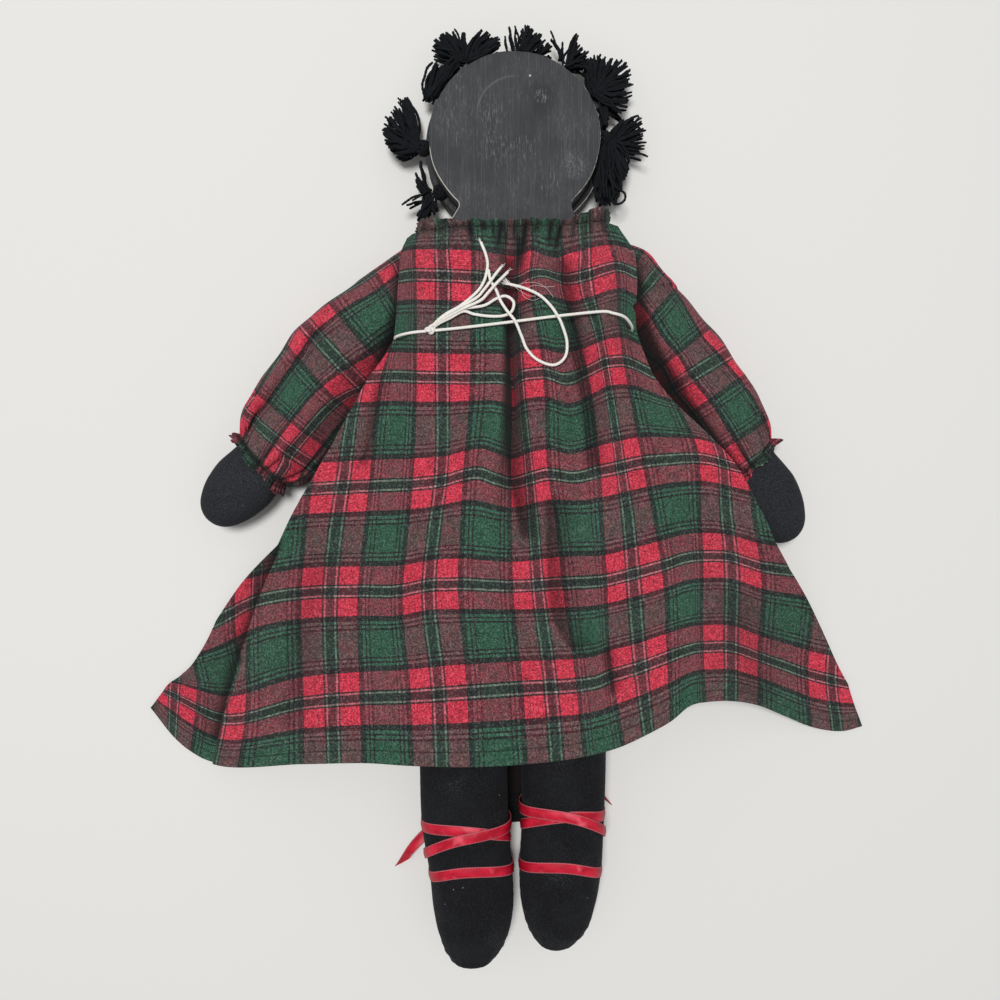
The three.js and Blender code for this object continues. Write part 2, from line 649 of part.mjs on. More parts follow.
// The hem from tip to tip.
const HEM = [
  [-204.5, -118.6], [-186, -142], [-166, -152], [-128, -149], [-85, -143], [-49, -138.5], [-18, -138.5],
  [9, -137.5], [33, -134], [50, -131.5], [71, -129], [90, -123.5], [103, -115.5], [117, -112], [134, -113.5],
  [151, -120.5], [169, -129], [193.5, -132], [199, -129],
];

const edgeX = (rows, y) => lookUp(rows, y, 1);
const edgeZ = (rows, y) => lookUp(rows, y, 2);
const sideRows = (side) => (side < 0 ? LEFT_EDGE : RIGHT_EDGE);

// Height of the body that the cloth lies on, along the middle, and the half width of its flat top.
const RIDGE = TORSO.slice(0, 10).map(([y, , , high]) => [y, high]);
const SPREAD_ROOM = 73; // half width kept free over the legs, which part under the skirt
const TOP_HALF = [[NECK_LINE_Y, 16], [120, 30], [STRING_Y, 33], [40, 40], [-10, 58], [-60, SPREAD_ROOM]];

function ridgeZ(y) {
  const body = Math.max(lookUp(RIDGE, y, 1), LEG_BACK_Z);
  return body + CLOTH_EASE + CLOTH / 2;
}

function backHeight(x, y) {
  const rows = sideRows(x);
  const edge = Math.abs(edgeX(rows, y));
  const half = lookUp(TOP_HALF, y, 1);
  const out = clamp01((Math.abs(x) - half) / Math.max(1, edge - half));
  const drop = 0.5 + 0.5 * Math.cos(Math.PI * out ** 0.8);
  const base = mix(edgeZ(rows, y), ridgeZ(y), drop);
  const skirt = smooth((STRING_Y - 10 - y) / 160);
  const fold = 0.5 + 0.5 * Math.cos((2 * Math.PI * (x - 20)) / 46);
  const wave = 0.5 - 0.5 * Math.cos((2 * Math.PI * (x - 100)) / 52);
  const rightHem = smooth((x - 96) / 20) * smooth((180 - x) / 20) * smooth((-40 - y) / 60);
  const leftHem = smooth((-90 - x) / 20) * smooth((195 + x) / 20) * smooth((-50 - y) / 60);
  return base + SKIRT_FOLD * skirt * fold * drop + 8 * wave * rightHem + 4 * fold * leftHem;
}

function hemPoint(share) {
  const at = share * (HEM.length - 1);
  const i = Math.min(HEM.length - 2, Math.floor(at));
  return [mix(HEM[i][0], HEM[i + 1][0], at - i), mix(HEM[i][1], HEM[i + 1][1], at - i)];
}

// Rows of the back panel hang from its two edges; below the string they bow down towards the hem.
function backGrid() {
  const columns = 23;
  const top = [NECK_LINE_Y, 138, 131, 123, 114, 105, 96.5, STRING_Y, SKIRT_TOP_Y];
  const grid = top.map((y) => Array.from({ length: columns }, (_, j) => {
    const x = mix(edgeX(LEFT_EDGE, y), edgeX(RIGHT_EDGE, y), j / (columns - 1));
    return new THREE.Vector3(x, y, backHeight(x, y));
  }));
  const rows = 13;
  const leftEnd = LEFT_EDGE[LEFT_EDGE.length - 1][0];
  const rightEnd = RIGHT_EDGE[RIGHT_EDGE.length - 1][0];
  for (let i = 1; i <= rows; i += 1) {
    const down = i / rows;
    const leftY = mix(SKIRT_TOP_Y, leftEnd, down);
    const rightY = mix(SKIRT_TOP_Y, rightEnd, down);
    const leftX = edgeX(LEFT_EDGE, leftY);
    const rightX = edgeX(RIGHT_EDGE, rightY);
    grid.push(Array.from({ length: columns }, (_, j) => {
      const u = j / (columns - 1);
      const [hemX, hemY] = hemPoint(u);
      const straightX = mix(leftX, rightX, u);
      const straightY = mix(leftY, rightY, u);
      const bow = hemY - mix(leftEnd, rightEnd, u);
      const shift = hemX - mix(HEM[0][0], HEM[HEM.length - 1][0], u);
      const x = straightX + shift * down;
      const y = straightY + bow * down;
      return new THREE.Vector3(x, y, backHeight(x, y));
    }));
  }
  return grid;
}

// The front panel lies on the surface. Beside the torso it turns up and folds out under the back panel's edge.
const UNDER_STRING = 2 * STRING_RADIUS + 2 * SEAT + CLOTH / 2;
const FLOOR_CLOTH = CLOTH / 2;
const WALL_HALF = 3;
const TUCK_END_Y = 62; // down to here the edge is tucked in beside the body
const TUCK_RUN = 12;
const FLARE_START_Y = 4; // below here the turned-up part moves out to the edge
const FLARE_RUN = 62;

const bodyHalf = (y) => lookUp(TORSO, Math.max(y, TORSO[9][0]), 1);

function frontEdge(side, y) {
  const open = Math.abs(edgeX(sideRows(side), y));
  const tucked = bodyHalf(y) + 2 * WALL_HALF;
  const tuck = y < STRING_Y ? smooth((y - TUCK_END_Y) / TUCK_RUN) : 0;
  return mix(open, Math.min(open, tucked), tuck);
}

function frontWall(side, y) {
  const flare = smooth((FLARE_START_Y - y) / FLARE_RUN);
  return mix(bodyHalf(y) + WALL_HALF, Math.abs(edgeX(sideRows(side), y)) - WALL_HALF, flare);
}

function frontHeight(x, y) {
  const rows = sideRows(x);
  const low = mix(FLOOR_CLOTH, UNDER_STRING, smooth((y - 40) / 30));
  const turn = smooth((Math.abs(x) - frontWall(x, y) + WALL_HALF) / (2 * WALL_HALF));
  const tall = smooth((STRING_Y - 1 - y) / 9);
  const under = edgeZ(rows, y) - CLOTH - FLAP_GAP;
  return mix(low, Math.max(low, under), turn * tall);
}

function frontGrid() {
  const top = [NECK_LINE_Y, 138, 131, 123, 114, 105, 96.5, STRING_Y, 82, 77, 70, TUCK_END_Y];
  const rows = 12;
  const lines = top.map((y) => [y, y]);
  const leftEnd = LEFT_EDGE[LEFT_EDGE.length - 1][0];
  const rightEnd = RIGHT_EDGE[RIGHT_EDGE.length - 1][0];
  for (let i = 1; i <= rows; i += 1) {
    lines.push([mix(TUCK_END_Y, leftEnd, i / rows), mix(TUCK_END_Y, rightEnd, i / rows)]);
  }
  return lines.map(([leftY, rightY], row) => {
    const down = Math.max(0, (row - top.length + 1) / rows);
    const line = [];
    for (const side of [-1, 1]) {
      const y = side < 0 ? leftY : rightY;
      const edge = frontEdge(side, y);
      const wall = Math.min(frontWall(side, y), edge - WALL_HALF);
      const stops = [edge, mix(wall + WALL_HALF, edge, 0.5), wall + WALL_HALF, wall + 1, wall - 1, wall - WALL_HALF];
      stops.push((wall - WALL_HALF) * 0.6, (wall - WALL_HALF) * 0.25);
      if (side < 0) {
        stops.forEach((x) => line.push([-x, leftY]));
      } else {
        stops.reverse().forEach((x) => line.push([x, rightY]));
      }
    }
    return line.map(([x, y], j) => {
      const u = j / (line.length - 1);
      const hemY = hemPoint(u)[1] - mix(leftEnd, rightEnd, u);
      const nearNeck = clamp01((leftY - SHOULDER_Y) / (NECK_LINE_Y - SHOULDER_Y));
      const dip = NECK_FRONT_DROP * nearNeck * Math.max(0, 1 - (x / NECK_LINE_HALF_WIDTH) ** 2);
      const z = frontHeight(x, mix(leftY, rightY, u));
      return new THREE.Vector3(x, mix(leftY, rightY, u) + hemY * 0.9 * down - dip, z);
    });
  });
}

addPiece('dress_back', sheet(backGrid(), CLOTH), FINISH.tartan);
addPiece('dress_front', sheet(frontGrid(), CLOTH), FINISH.tartan);

// Neckline: a loop that follows the top edges of both panels, as points and outward directions.
function neckLoop(count) {
  const points = [];
  const half = NECK_LINE_HALF_WIDTH;
  for (let k = 0; k < count; k += 1) {
    const a = (2 * Math.PI * k) / count;
    const x = half * Math.cos(a);
    const back = backHeight(x, NECK_LINE_Y);
    const front = UNDER_STRING;
    const up = Math.sin(a);
    const z = up > 0 ? back : front;
    const blend = smooth((Math.abs(up) - 0.02) / 0.3);
    const middle = (backHeight(half, NECK_LINE_Y) + front) / 2;
    const drop = up < 0 ? NECK_FRONT_DROP * (1 - (x / half) ** 2) : 0;
    points.push({ x, y: NECK_LINE_Y - drop, z: mix(middle, z, blend), out: [Math.cos(a), up], a });
  }
  return points;
}

function neckElastic() {
  return skin(neckLoop(40).map(({ x, y, z, out }) => {
    const section = [];
    for (let k = 0; k < 6; k += 1) {
      const a = (2 * Math.PI * k) / 6;
      const outward = ELASTIC_RADIUS * Math.cos(a);
      section.push(new THREE.Vector3(
        x + out[0] * outward,
        y + SEAT + ELASTIC_RADIUS + ELASTIC_RADIUS * Math.sin(a),
        z + out[1] * outward,
      ));
    }
    return section;
  }), true);
}

function neckFrill() {
  const lift = 2 * (SEAT + ELASTIC_RADIUS);
  return skin(neckLoop(NECK_FRILL_WAVES * 4).map(({ x, y, z, out, a }) => {
    const wave = FRILL_WAVE * Math.cos(NECK_FRILL_WAVES * a);
    const edge = (share, wall) => new THREE.Vector3(
      x + out[0] * (wave * share + wall),
      y + lift + FRILL_HEIGHT * share,
      z + out[1] * (wave * share + wall),
    );
    const wall = CLOTH / 2;
    return [edge(0, -wall), edge(1, -wall), edge(1, wall), edge(0, wall)];
  }), true);
}

addPiece('neck_elastic', neckElastic(), FINISH.elastic);
addPiece('neck_frill', neckFrill(), FINISH.tartan);

// String round the chest, from one side of its knot to the other, and the loose stretches that leave it.
const KNOT = [-43, 86.2, 45.6];
const CHEST_STRING = [
  [-46.8, 85.8, 44.8], [-52, 85.6, 43], [-58.4, 85.2, 39.6], [-62.1, 85, 34.6], [-62.3, 85, 22], [-62.3, 85.4, 8],
  [-62, 85.8, 2.6], [-60, 86, 1.05], [-52, 86.2, 1.05], [-28, 86.4, 1.05], [0, 86.6, 1.05], [28, 87, 1.05],
  [52, 87.4, 1.05], [60, 87.6, 1.05], [62, 87.8, 2.6], [62.3, 88, 8], [62.3, 88.4, 22], [61.8, 89, 34.4],
  [58, 90.4, 39.8], [50, 92.6, 43.8], [40, 94, 46.4], [21.6, 93, 48.6], [0.3, 90.7, 48.6], [-18, 88.5, 48.5],
  [-30, 87.2, 48.3], [-39.2, 86.2, 46.4],
];
const BUNDLE = [[-40.6, 89.6, 48.4], [-33.5, 93.6, 49.4], [-26.8, 97.2, 49.4]];
const LOOSE_ENDS = {
  string_end_a: [
    [-24.6, 100.6, 48.8], [-20.8, 104, 48.4], [-17.2, 108, 48.2], [-14.8, 113, 48], [-13.6, 119.8, 47],
    [-14.6, 125.8, 45.4], [-17.1, 132.6, 43],
  ],
  string_end_b: [
    [-22.9, 99.1, 49.4], [-19, 102.6, 49.6], [-15.4, 106.4, 50], [-11.9, 110.8, 50.4], [-8.8, 115.2, 49.4],
    [-5.3, 120.2, 47.6],
  ],
  string_end_c: [
    [-21.4, 97.4, 49.6], [-17.2, 100.9, 50.4], [-13, 105.2, 51], [-8.4, 110.2, 51.2], [-4.2, 114.6, 49.8],
    [-0.9, 118, 48.2],
  ],
  string_loop: [
    [-22, 95, 48.4], [-15.6, 98.8, 48.4], [-9.3, 102.2, 48.4], [-4.3, 103.6, 48.4], [-0.4, 100.6, 48.4],
    [-1.4, 95.8, 48.4], [-5.8, 93.4, 48.4], [-12.4, 92.6, 48.4], [-21.4, 92.6, 48.4],
  ],
  string_end_e: [
    [-11.4, 116, 48.2], [-10.8, 110.6, 48.2], [-9.2, 106.4, 49], [-7, 100.6, 50.6], [-3.3, 95, 50.6],
    [0.3, 90.4, 50.8], [3.6, 83.1, 49.4], [6.4, 76.6, 48.6], [12, 71.1, 48.4], [20.1, 68.6, 48.4],
    [25.7, 72.6, 48.4], [26.7, 80.2, 48.6], [24.1, 88.5, 50.2], [21.8, 93, 50.9], [18, 98.8, 49.8],
    [12.5, 104.1, 48.8], [4.9, 107.7, 48.4], [-2.6, 109.8, 48],
  ],
};

const knot = new THREE.SphereGeometry(KNOT_RADIUS, 10, 7);
knot.translate(...KNOT);
addPiece('string_knot', knot, FINISH.string);
addPiece('chest_string', cordTube(CHEST_STRING, STRING_RADIUS, 52), FINISH.string);
addPiece('string_bundle', cordTube(BUNDLE, BUNDLE_RADIUS, 5), FINISH.string);
for (const [name, points] of Object.entries(LOOSE_ENDS)) {
  addPiece(name, cordTube(points, STRING_RADIUS, points.length * 2), FINISH.string);
}

// The origin is the middle of the doll's box, on the surface that it lies on.
const extent = new THREE.Box3().setFromObject(doll);
doll.position.set(-(extent.min.x + extent.max.x) / 2, -(extent.min.y + extent.max.y) / 2, -extent.min.z);

export default doll;
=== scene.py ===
# %% [markdown]
# A folk doll with a sawn wooden head lies face down on a pale table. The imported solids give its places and
# its joints. This lesson dresses them: painted wood, yarn, stuffed cotton, tartan flannel, string and satin.

# %% The frame
import math

import bpy
import numpy as np
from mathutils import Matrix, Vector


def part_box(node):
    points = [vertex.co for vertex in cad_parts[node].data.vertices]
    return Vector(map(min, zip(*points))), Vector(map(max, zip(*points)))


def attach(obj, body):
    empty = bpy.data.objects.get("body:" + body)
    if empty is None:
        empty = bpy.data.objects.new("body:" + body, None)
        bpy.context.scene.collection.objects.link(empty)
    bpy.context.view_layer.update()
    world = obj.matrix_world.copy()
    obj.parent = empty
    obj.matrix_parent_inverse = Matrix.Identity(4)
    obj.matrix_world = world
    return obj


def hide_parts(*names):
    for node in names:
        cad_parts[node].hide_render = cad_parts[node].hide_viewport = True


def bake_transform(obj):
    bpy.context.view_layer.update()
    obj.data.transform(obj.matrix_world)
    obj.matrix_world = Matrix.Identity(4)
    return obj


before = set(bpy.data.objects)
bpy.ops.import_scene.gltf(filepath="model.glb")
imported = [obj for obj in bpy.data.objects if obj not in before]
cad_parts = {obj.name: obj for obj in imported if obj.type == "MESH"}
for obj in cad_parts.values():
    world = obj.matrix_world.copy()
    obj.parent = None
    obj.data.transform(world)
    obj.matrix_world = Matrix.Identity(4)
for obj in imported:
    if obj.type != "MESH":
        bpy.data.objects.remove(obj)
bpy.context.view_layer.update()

# %% [markdown]
# Sizes are millimetres on the doll: x across, y towards the head, z up from the table. The centre of the
# round face board is known in both frames, so it ties the doll's millimetres to the frame's metres.

# %% Millimetres on the doll
MM = 0.001
FACE_CENTRE = np.array((0.6, 195.79))
face_low, face_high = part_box("face_board")
face_middle = np.array((face_low + face_high)[:2]) / 2
ORIGIN = np.array((*(face_middle - FACE_CENTRE * MM), 0.0))


def to_frame(points):
    return np.asarray(points, float) * MM + ORIGIN


def smooth(t):
    t = np.clip(t, 0, 1)
    return t * t * (3 - 2 * t)


def mix(a, b, t):
    return a + (b - a) * t


def table(rows, at, column=1):
    """Reads one column of rows sorted by their first value, straight between neighbours."""
    rows = np.array(sorted(rows), float)
    return np.interp(at, rows[:, 0], rows[:, column])


def hermite(at, x, y):
    """Reads a smooth curve through the points (x, y), with x rising."""
    x, y = np.asarray(x, float), np.asarray(y, float)
    slope = np.gradient(y, x)
    k = np.clip(np.searchsorted(x, at, side="right") - 1, 0, len(x) - 2)
    gap = x[k + 1] - x[k]
    t = (at - x[k]) / gap
    return ((2 * t ** 3 - 3 * t ** 2 + 1) * y[k] + (t ** 3 - 2 * t ** 2 + t) * gap * slope[k]
            + (3 * t ** 2 - 2 * t ** 3) * y[k + 1] + (t ** 3 - t ** 2) * gap * slope[k + 1])


def unit(vectors):
    """The same directions, each of length one."""
    return vectors / np.linalg.norm(vectors, axis=-1, keepdims=True)


def run_lengths(points):
    """How far along a line each of its points is."""
    return np.concatenate([[0], np.cumsum(np.linalg.norm(np.diff(points, axis=0), axis=1))])


print("doll origin in the frame:", ORIGIN.round(5))

# %% [markdown]
# The photograph was taken from straight above and close by, so nearer cloth looks larger. A pinhole camera
# with the same height and focal length lets a photographed point be laid at its real height.

# %% The camera
PHOTO_SIZE = 1000
FOCAL_PIXELS = 751
EYE = np.array((-7.3, 0.0, 430.0))


def under_pixel(column, row, z):
    """Where the line of sight through a pixel meets the height z."""
    scale = (EYE[2] - z) / FOCAL_PIXELS
    x = (column - PHOTO_SIZE / 2) * scale + EYE[0]
    y = (PHOTO_SIZE / 2 - row) * scale + EYE[1]
    return x, y


def over_point(x, y, z):
    """The pixel in which a point is seen."""
    scale = (EYE[2] - z) / FOCAL_PIXELS
    return (x - EYE[0]) / scale + PHOTO_SIZE / 2, PHOTO_SIZE / 2 - (y - EYE[1]) / scale


camera = bpy.data.objects.new("camera", bpy.data.cameras.new("camera"))
camera.data.sensor_width = 36.0
camera.data.lens = camera.data.sensor_width * FOCAL_PIXELS / PHOTO_SIZE
camera.data.clip_start = 0.01
camera.location = to_frame(EYE)
bpy.context.scene.collection.objects.link(camera)
bpy.context.scene.camera = camera
print("camera height", round(camera.location.z, 4), "m, lens", round(camera.data.lens, 2), "mm")

# %% [markdown]
# Every finish is written as arithmetic on shader sockets. A Wire wraps one socket, so that plus, minus and
# times add Math nodes, and a Finish adds any other node by its type, its settings and its inputs.

# %% Shader arithmetic


class Wire:
    """A shader socket that does arithmetic."""

    def __init__(self, finish, socket):
        self.finish = finish
        self.socket = socket

    def math(self, operation, *values):
        return self.finish.node("ShaderNodeMath", {"operation": operation}, dict(enumerate(values)))

    def __add__(self, other):
        return self.math("ADD", self, other)

    def __sub__(self, other):
        return self.math("SUBTRACT", self, other)

    def __rsub__(self, other):
        return self.math("SUBTRACT", other, self)

    def __mul__(self, other):
        return self.math("MULTIPLY", self, other)

    def __gt__(self, other):
        return self.math("GREATER_THAN", self, other)

    def __lt__(self, other):
        return self.math("LESS_THAN", self, other)

    __radd__ = __add__
    __rmul__ = __mul__

    def fraction(self):
        return self.math("FRACT", self)

    def size(self):
        return self.math("ABSOLUTE", self)

    def between(self, low, high):
        """0 at low and 1 at high, straight between and held beyond."""
        return self.finish.node("ShaderNodeMapRange", {"clamp": True}, {0: self, 1: low, 2: high})


class Finish:
    """A material whose nodes are added one call at a time."""

    def __init__(self, name, **constants):
        self.material = bpy.data.materials.new(name)
        self.material.use_nodes = True
        self.tree = self.material.node_tree
        self.shader = self.tree.nodes["Principled BSDF"]
        for socket, value in constants.items():
            self.shader.inputs[socket.replace("_", " ")].default_value = value

    def node(self, kind, settings=None, inputs=None, output=0):
        made = self.tree.nodes.new(kind)
        for key, value in (settings or {}).items():
            if key == "stops":
                set_stops(made.color_ramp, value)
            else:
                setattr(made, key, value)
        for key, value in (inputs or {}).items():
            if isinstance(value, Wire):
                self.tree.links.new(value.socket, made.inputs[key])
            else:
                made.inputs[key].default_value = value
        return Wire(self, made.outputs[output])

    def feed(self, **wires):
        for socket, wire in wires.items():
            self.tree.links.new(wire.socket, self.shader.inputs[socket.replace("_", " ")])

    def blend(self, factor, a, b):
        return self.node("ShaderNodeMix", {"data_type": "RGBA"}, {0: factor, 6: a, 7: b}, 2)

    def stretch(self, vector, amounts):
        return self.node("ShaderNodeVectorMath", {"operation": "MULTIPLY"}, {0: vector, 1: amounts})

    def noise(self, vector, amounts, detail=2.0):
        return self.node("ShaderNodeTexNoise", None, {
            "Vector": self.stretch(vector, amounts), "Scale": 1.0, "Detail": detail, "Roughness": 0.55})

    def scaled(self, vector, amount):
        return self.node("ShaderNodeVectorMath", {"operation": "SCALE"}, {0: vector, 3: amount})

    def marked(self, name):
        """A number that the mesh holds at every point."""
        return self.node("ShaderNodeAttribute", {"attribute_name": name}, None, 2)

    def part(self, vector, axis):
        return self.node("ShaderNodeSeparateXYZ", None, {0: vector}, axis)

    def map(self, name):
        return self.node("ShaderNodeUVMap", {"uv_map": name})

    def place(self):
        """The point's place on the resting object, in millimetres."""
        there = self.node("ShaderNodeTexCoord", None, None, 3)
        return self.stretch(there, (1 / MM,) * 3)

    def bump(self, height, distance, strength=1.0):
        self.feed(Normal=self.node("ShaderNodeBump", None, {
            "Height": height, "Distance": distance * MM, "Strength": strength}))


def set_stops(ramp, stops):
    """Stops of a ramp that holds each colour until the next stop."""
    ramp.interpolation = "CONSTANT"
    for i, (at, colour) in enumerate(stops):
        stop = ramp.elements[i] if i < 2 else ramp.elements.new(at)
        stop.position = at
        stop.color = colour


def srgb(code):
    """A colour written as six hex digits, as the linear colour that shaders use."""
    shares = [int(code[i:i + 2], 16) / 255 for i in (0, 2, 4)]
    return (*[c / 12.92 if c <= 0.04045 else ((c + 0.055) / 1.055) ** 2.4 for c in shares], 1.0)


# %% [markdown]
# Most pieces are grids of points: a panel of cloth, a stuffed limb, a tube. One function turns a grid into a
# mesh. A grid that closes on itself shares its seam's points, so that no crease shows there, while each face
# corner keeps its own place on the flat cut.

# %% Grids of points
def add_mesh(name, points, faces, material, maps=None):
    mesh = bpy.data.meshes.new(name)
    mesh.from_pydata(to_frame(points).tolist(), [], faces)
    for key, corners in (maps or {}).items():
        layer = mesh.uv_layers.new(name=key)
        layer.data.foreach_set("uv", np.asarray(corners, np.float32).ravel())
    mesh.shade_smooth()
    mesh.materials.append(material)
    piece = bpy.data.objects.new(name, mesh)
    bpy.context.scene.collection.objects.link(piece)
    return piece


def grid_faces(rows, columns, closed=False, start=0):
    """Corner numbers of a grid's faces, and the row and column of each corner before the seam wraps."""
    i, j = np.meshgrid(np.arange(rows - 1), np.arange(columns if closed else columns - 1), indexing="ij")
    corners = np.stack([np.stack([i + a, j + b], -1) for a, b in ((0, 0), (1, 0), (1, 1), (0, 1))], 2)
    corners = corners.reshape(-1, 4, 2)
    numbers = start + corners[..., 0] * columns + corners[..., 1] % columns
    return numbers, corners


def add_grid(name, points, material, maps=None, closed=False, caps=False):
    """A piece from points[row, column]; each map has a place for every row and column, one more if closed."""
    rows, columns = points.shape[:2]
    numbers, corners = grid_faces(rows, columns, closed)
    flat = points.reshape(-1, 3)
    faces = numbers.tolist()
    found = {key: m[corners[..., 0], corners[..., 1]].reshape(-1, 2) for key, m in (maps or {}).items()}
    if caps:
        faces.append(list(range(columns)))
        faces.append(list(range((rows - 1) * columns, rows * columns))[::-1])
        for key, m in (maps or {}).items():
            found[key] = np.concatenate([found[key], m[0, :columns], m[-1, :columns][::-1]])
    return add_mesh(name, flat, faces, material, found)


def settle(piece, body, slot, *nodes):
    """The piece rides on a body and stands for solids; its slot is not used."""
    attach(piece, body)
    if nodes:
        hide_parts(*nodes)
    return piece


def mark(piece, name, values):
    """A number at every point of a piece, which its finish can read."""
    marks = piece.data.attributes.new(name, "FLOAT", "POINT")
    marks.data.foreach_set("value", np.asarray(values, np.float32).ravel())


# A light that looks half as bright is this power of a half as strong.
SEEN_POWER = 2.2


def crease(piece, dark):
    """Mark the shade painted on cloth in its creases and shaded places, nought to one as the eye sees it."""
    mark(piece, "crease", 1 - (1 - np.asarray(dark)) ** SEEN_POWER)


def thicken(piece, thickness):
    solid = piece.modifiers.new("cloth", "SOLIDIFY")
    solid.thickness = thickness * MM
    solid.offset = 0


# %% [markdown]
# String, yarn and ribbon follow routes. A route is a short list of points, rounded here by a
# Catmull-Rom curve and cut into even steps, and a tube carries a section along it without twisting.

# %% Routes and tubes
def even_route(points, step):
    points = np.asarray(points, float)
    padded = np.vstack([2 * points[0] - points[1], points, 2 * points[-1] - points[-2]])
    t = np.linspace(0, 1, 24, endpoint=False)[:, None]
    runs = []
    for a, b, c, d in zip(padded[:-3], padded[1:-2], padded[2:-1], padded[3:]):
        runs.append(0.5 * (2 * b + (c - a) * t + (2 * a - 5 * b + 4 * c - d) * t ** 2
                           + (3 * b - a - 3 * c + d) * t ** 3))
    fine = np.vstack([*runs, points[-1:]])
    far = run_lengths(fine)
    count = max(3, int(round(far[-1] / step)) + 1)
    at = np.linspace(0, far[-1], count)
    return np.stack([np.interp(at, far, fine[:, k]) for k in range(3)], -1), at


def route_frames(route):
    """Two directions square to the route at each point, carried along it without twist."""
    ahead = unit(np.gradient(route, axis=0))
    side = np.cross(ahead[0], (0, 0, 1) if abs(ahead[0][2]) < 0.9 else (1, 0, 0))
    sides = []
    for direction in ahead:
        side = side - direction * (side @ direction)
        side = side / np.linalg.norm(side)
        sides.append(side)
    sides = np.array(sides)
    return sides, np.cross(ahead, sides)


def ply_tube(route, at, radius, plies=3, lay=5.0, depth=0.16, sides=12):
    """A tube of twisted plies: its section has a lobe for each ply and turns once in each lay length."""
    across, up = route_frames(route)
    angle = np.linspace(0, 2 * np.pi, sides, endpoint=False)
    turn = 2 * np.pi * at[:, None] / lay
    reach = np.broadcast_to(np.asarray(radius, float).reshape(-1, 1), (len(route), 1))
    bulge = reach * (1 - depth + depth * np.abs(np.cos(0.5 * plies * (angle[None] - turn))))
    return (route[:, None] + across[:, None] * (bulge * np.cos(angle))[..., None]
            + up[:, None] * (bulge * np.sin(angle))[..., None])


def tube_map(at, sides, girth):
    """Flat places for a tube: millimetres along it and round it."""
    round_it = np.linspace(0, girth, sides + 1)
    return np.stack(np.meshgrid(at, round_it, indexing="ij"), -1)


def joined_tubes(name, tubes, material):
    """Several tubes as one piece, with their ends closed."""
    points = []
    faces = []
    corners_of = []
    count = 0
    for rings, at in tubes:
        rows, sides = rings.shape[:2]
        numbers, corners = grid_faces(rows, sides, True, count)
        flat = tube_map(at, sides, 5.0)
        faces += numbers.tolist()
        corners_of.append(flat[corners[..., 0], corners[..., 1]].reshape(-1, 2))
        for row, order in ((0, 1), (rows - 1, -1)):
            faces.append(list(range(count + row * sides, count + (row + 1) * sides))[::order])
            corners_of.append(flat[row, :sides][::order])
        points.append(rings.reshape(-1, 3))
        count += rows * sides
    return add_mesh(name, np.vstack(points), faces, material, {"run": np.vstack(corners_of)})


# %% [markdown]
# The string is white kitchen cotton in three plies. Its knot sits left of the spine, one run circles the
# chest, and the ends and a loop leave it as a bundle.

# %% String routes
STRING_DIAMETER = 1.6
KNOT = np.array((-43.0, 86.2, 45.6))
CHEST_ROUTE = [
    (-44.6, 86, 47.6), (-52, 85.6, 46.2), (-58.6, 85.2, 42), (-62.3, 85, 35.6), (-62.5, 85, 22),
    (-62.3, 85.4, 8), (-62, 85.8, 2.6), (-60, 86, 1.05), (-52, 86.2, 1.05), (-28, 86.4, 1.05),
    (0, 86.6, 1.05), (28, 87, 1.05), (52, 87.4, 1.05), (60, 87.6, 1.05), (62, 87.8, 2.6), (62.3, 88, 8),
    (62.3, 88.4, 22), (62.2, 89.6, 34.4), (60.4, 91.4, 40.2), (56.2, 93.8, 45.6), (50, 95, 48.2),
    (43.7, 95.6, 48.8), (21.6, 93.4, 48.6), (0.3, 90.7, 48.6), (-18, 88.5, 48.5), (-30, 87.2, 48.3),
    (-41.2, 86.2, 47.8),
]
BUNDLE_ROUTE = [(-41.6, 88.4, 47.4), (-37.6, 91.2, 48.9), (-33.5, 93.6, 49.4), (-26.8, 97.2, 49.4)]
# Each strand's place in the bundle: to its left and up.
STRANDS = {
    "a": (1.5, -0.6),
    "b": (0.6, 0.9),
    "c": (-0.5, 0.1),
    "loop_out": (-0.2, -1.2),
    "loop_back": (-1.6, -0.9),
}
END_ROUTES = {
    "a": [
        (-20.8, 104, 48.4), (-17.2, 108, 48.2), (-14.8, 113, 48), (-13.6, 119.8, 47), (-14.6, 125.8, 45.4),
        (-17.1, 132.6, 43.6),
    ],
    "b": [
        (-19, 102.6, 49.6), (-15.6, 106.2, 50), (-12.4, 110.2, 50.4), (-9.6, 114.4, 49.4),
        (-6.8, 118.4, 47.9),
    ],
    "c": [
        (-17.2, 100.9, 50.4), (-13.2, 104.8, 51), (-9.2, 109.2, 51.2), (-6, 112.8, 49.8),
        (-3.4, 115.8, 48.4),
    ],
    "loop": [
        (-15.6, 98.8, 48.4), (-9.3, 102.2, 48.4), (-4.3, 103.6, 48.4), (-0.4, 100.6, 48.4),
        (-1.4, 95.8, 48.4), (-5.8, 93.6, 48.4), (-12.8, 93.4, 48.4), (-20.4, 94.4, 48.4),
    ],
    "e": [
        (-13.2, 117, 48.4), (-12, 111.4, 48.6), (-9.2, 106.4, 49), (-7, 100.6, 50.6), (-3.3, 95, 50.6),
        (0.3, 90.4, 50.8), (3.6, 83.1, 49.4), (6.4, 76.6, 48.6), (12, 71.1, 48.4), (20.1, 68.6, 48.4),
        (25.7, 72.6, 48.4), (26.7, 80.2, 48.6), (24.1, 88.5, 50.2), (21.8, 93, 50.9), (18, 98.8, 49.8),
        (12.5, 104.1, 48.8), (4.9, 107.7, 48.4), (-2.6, 109.8, 48),
    ],
}


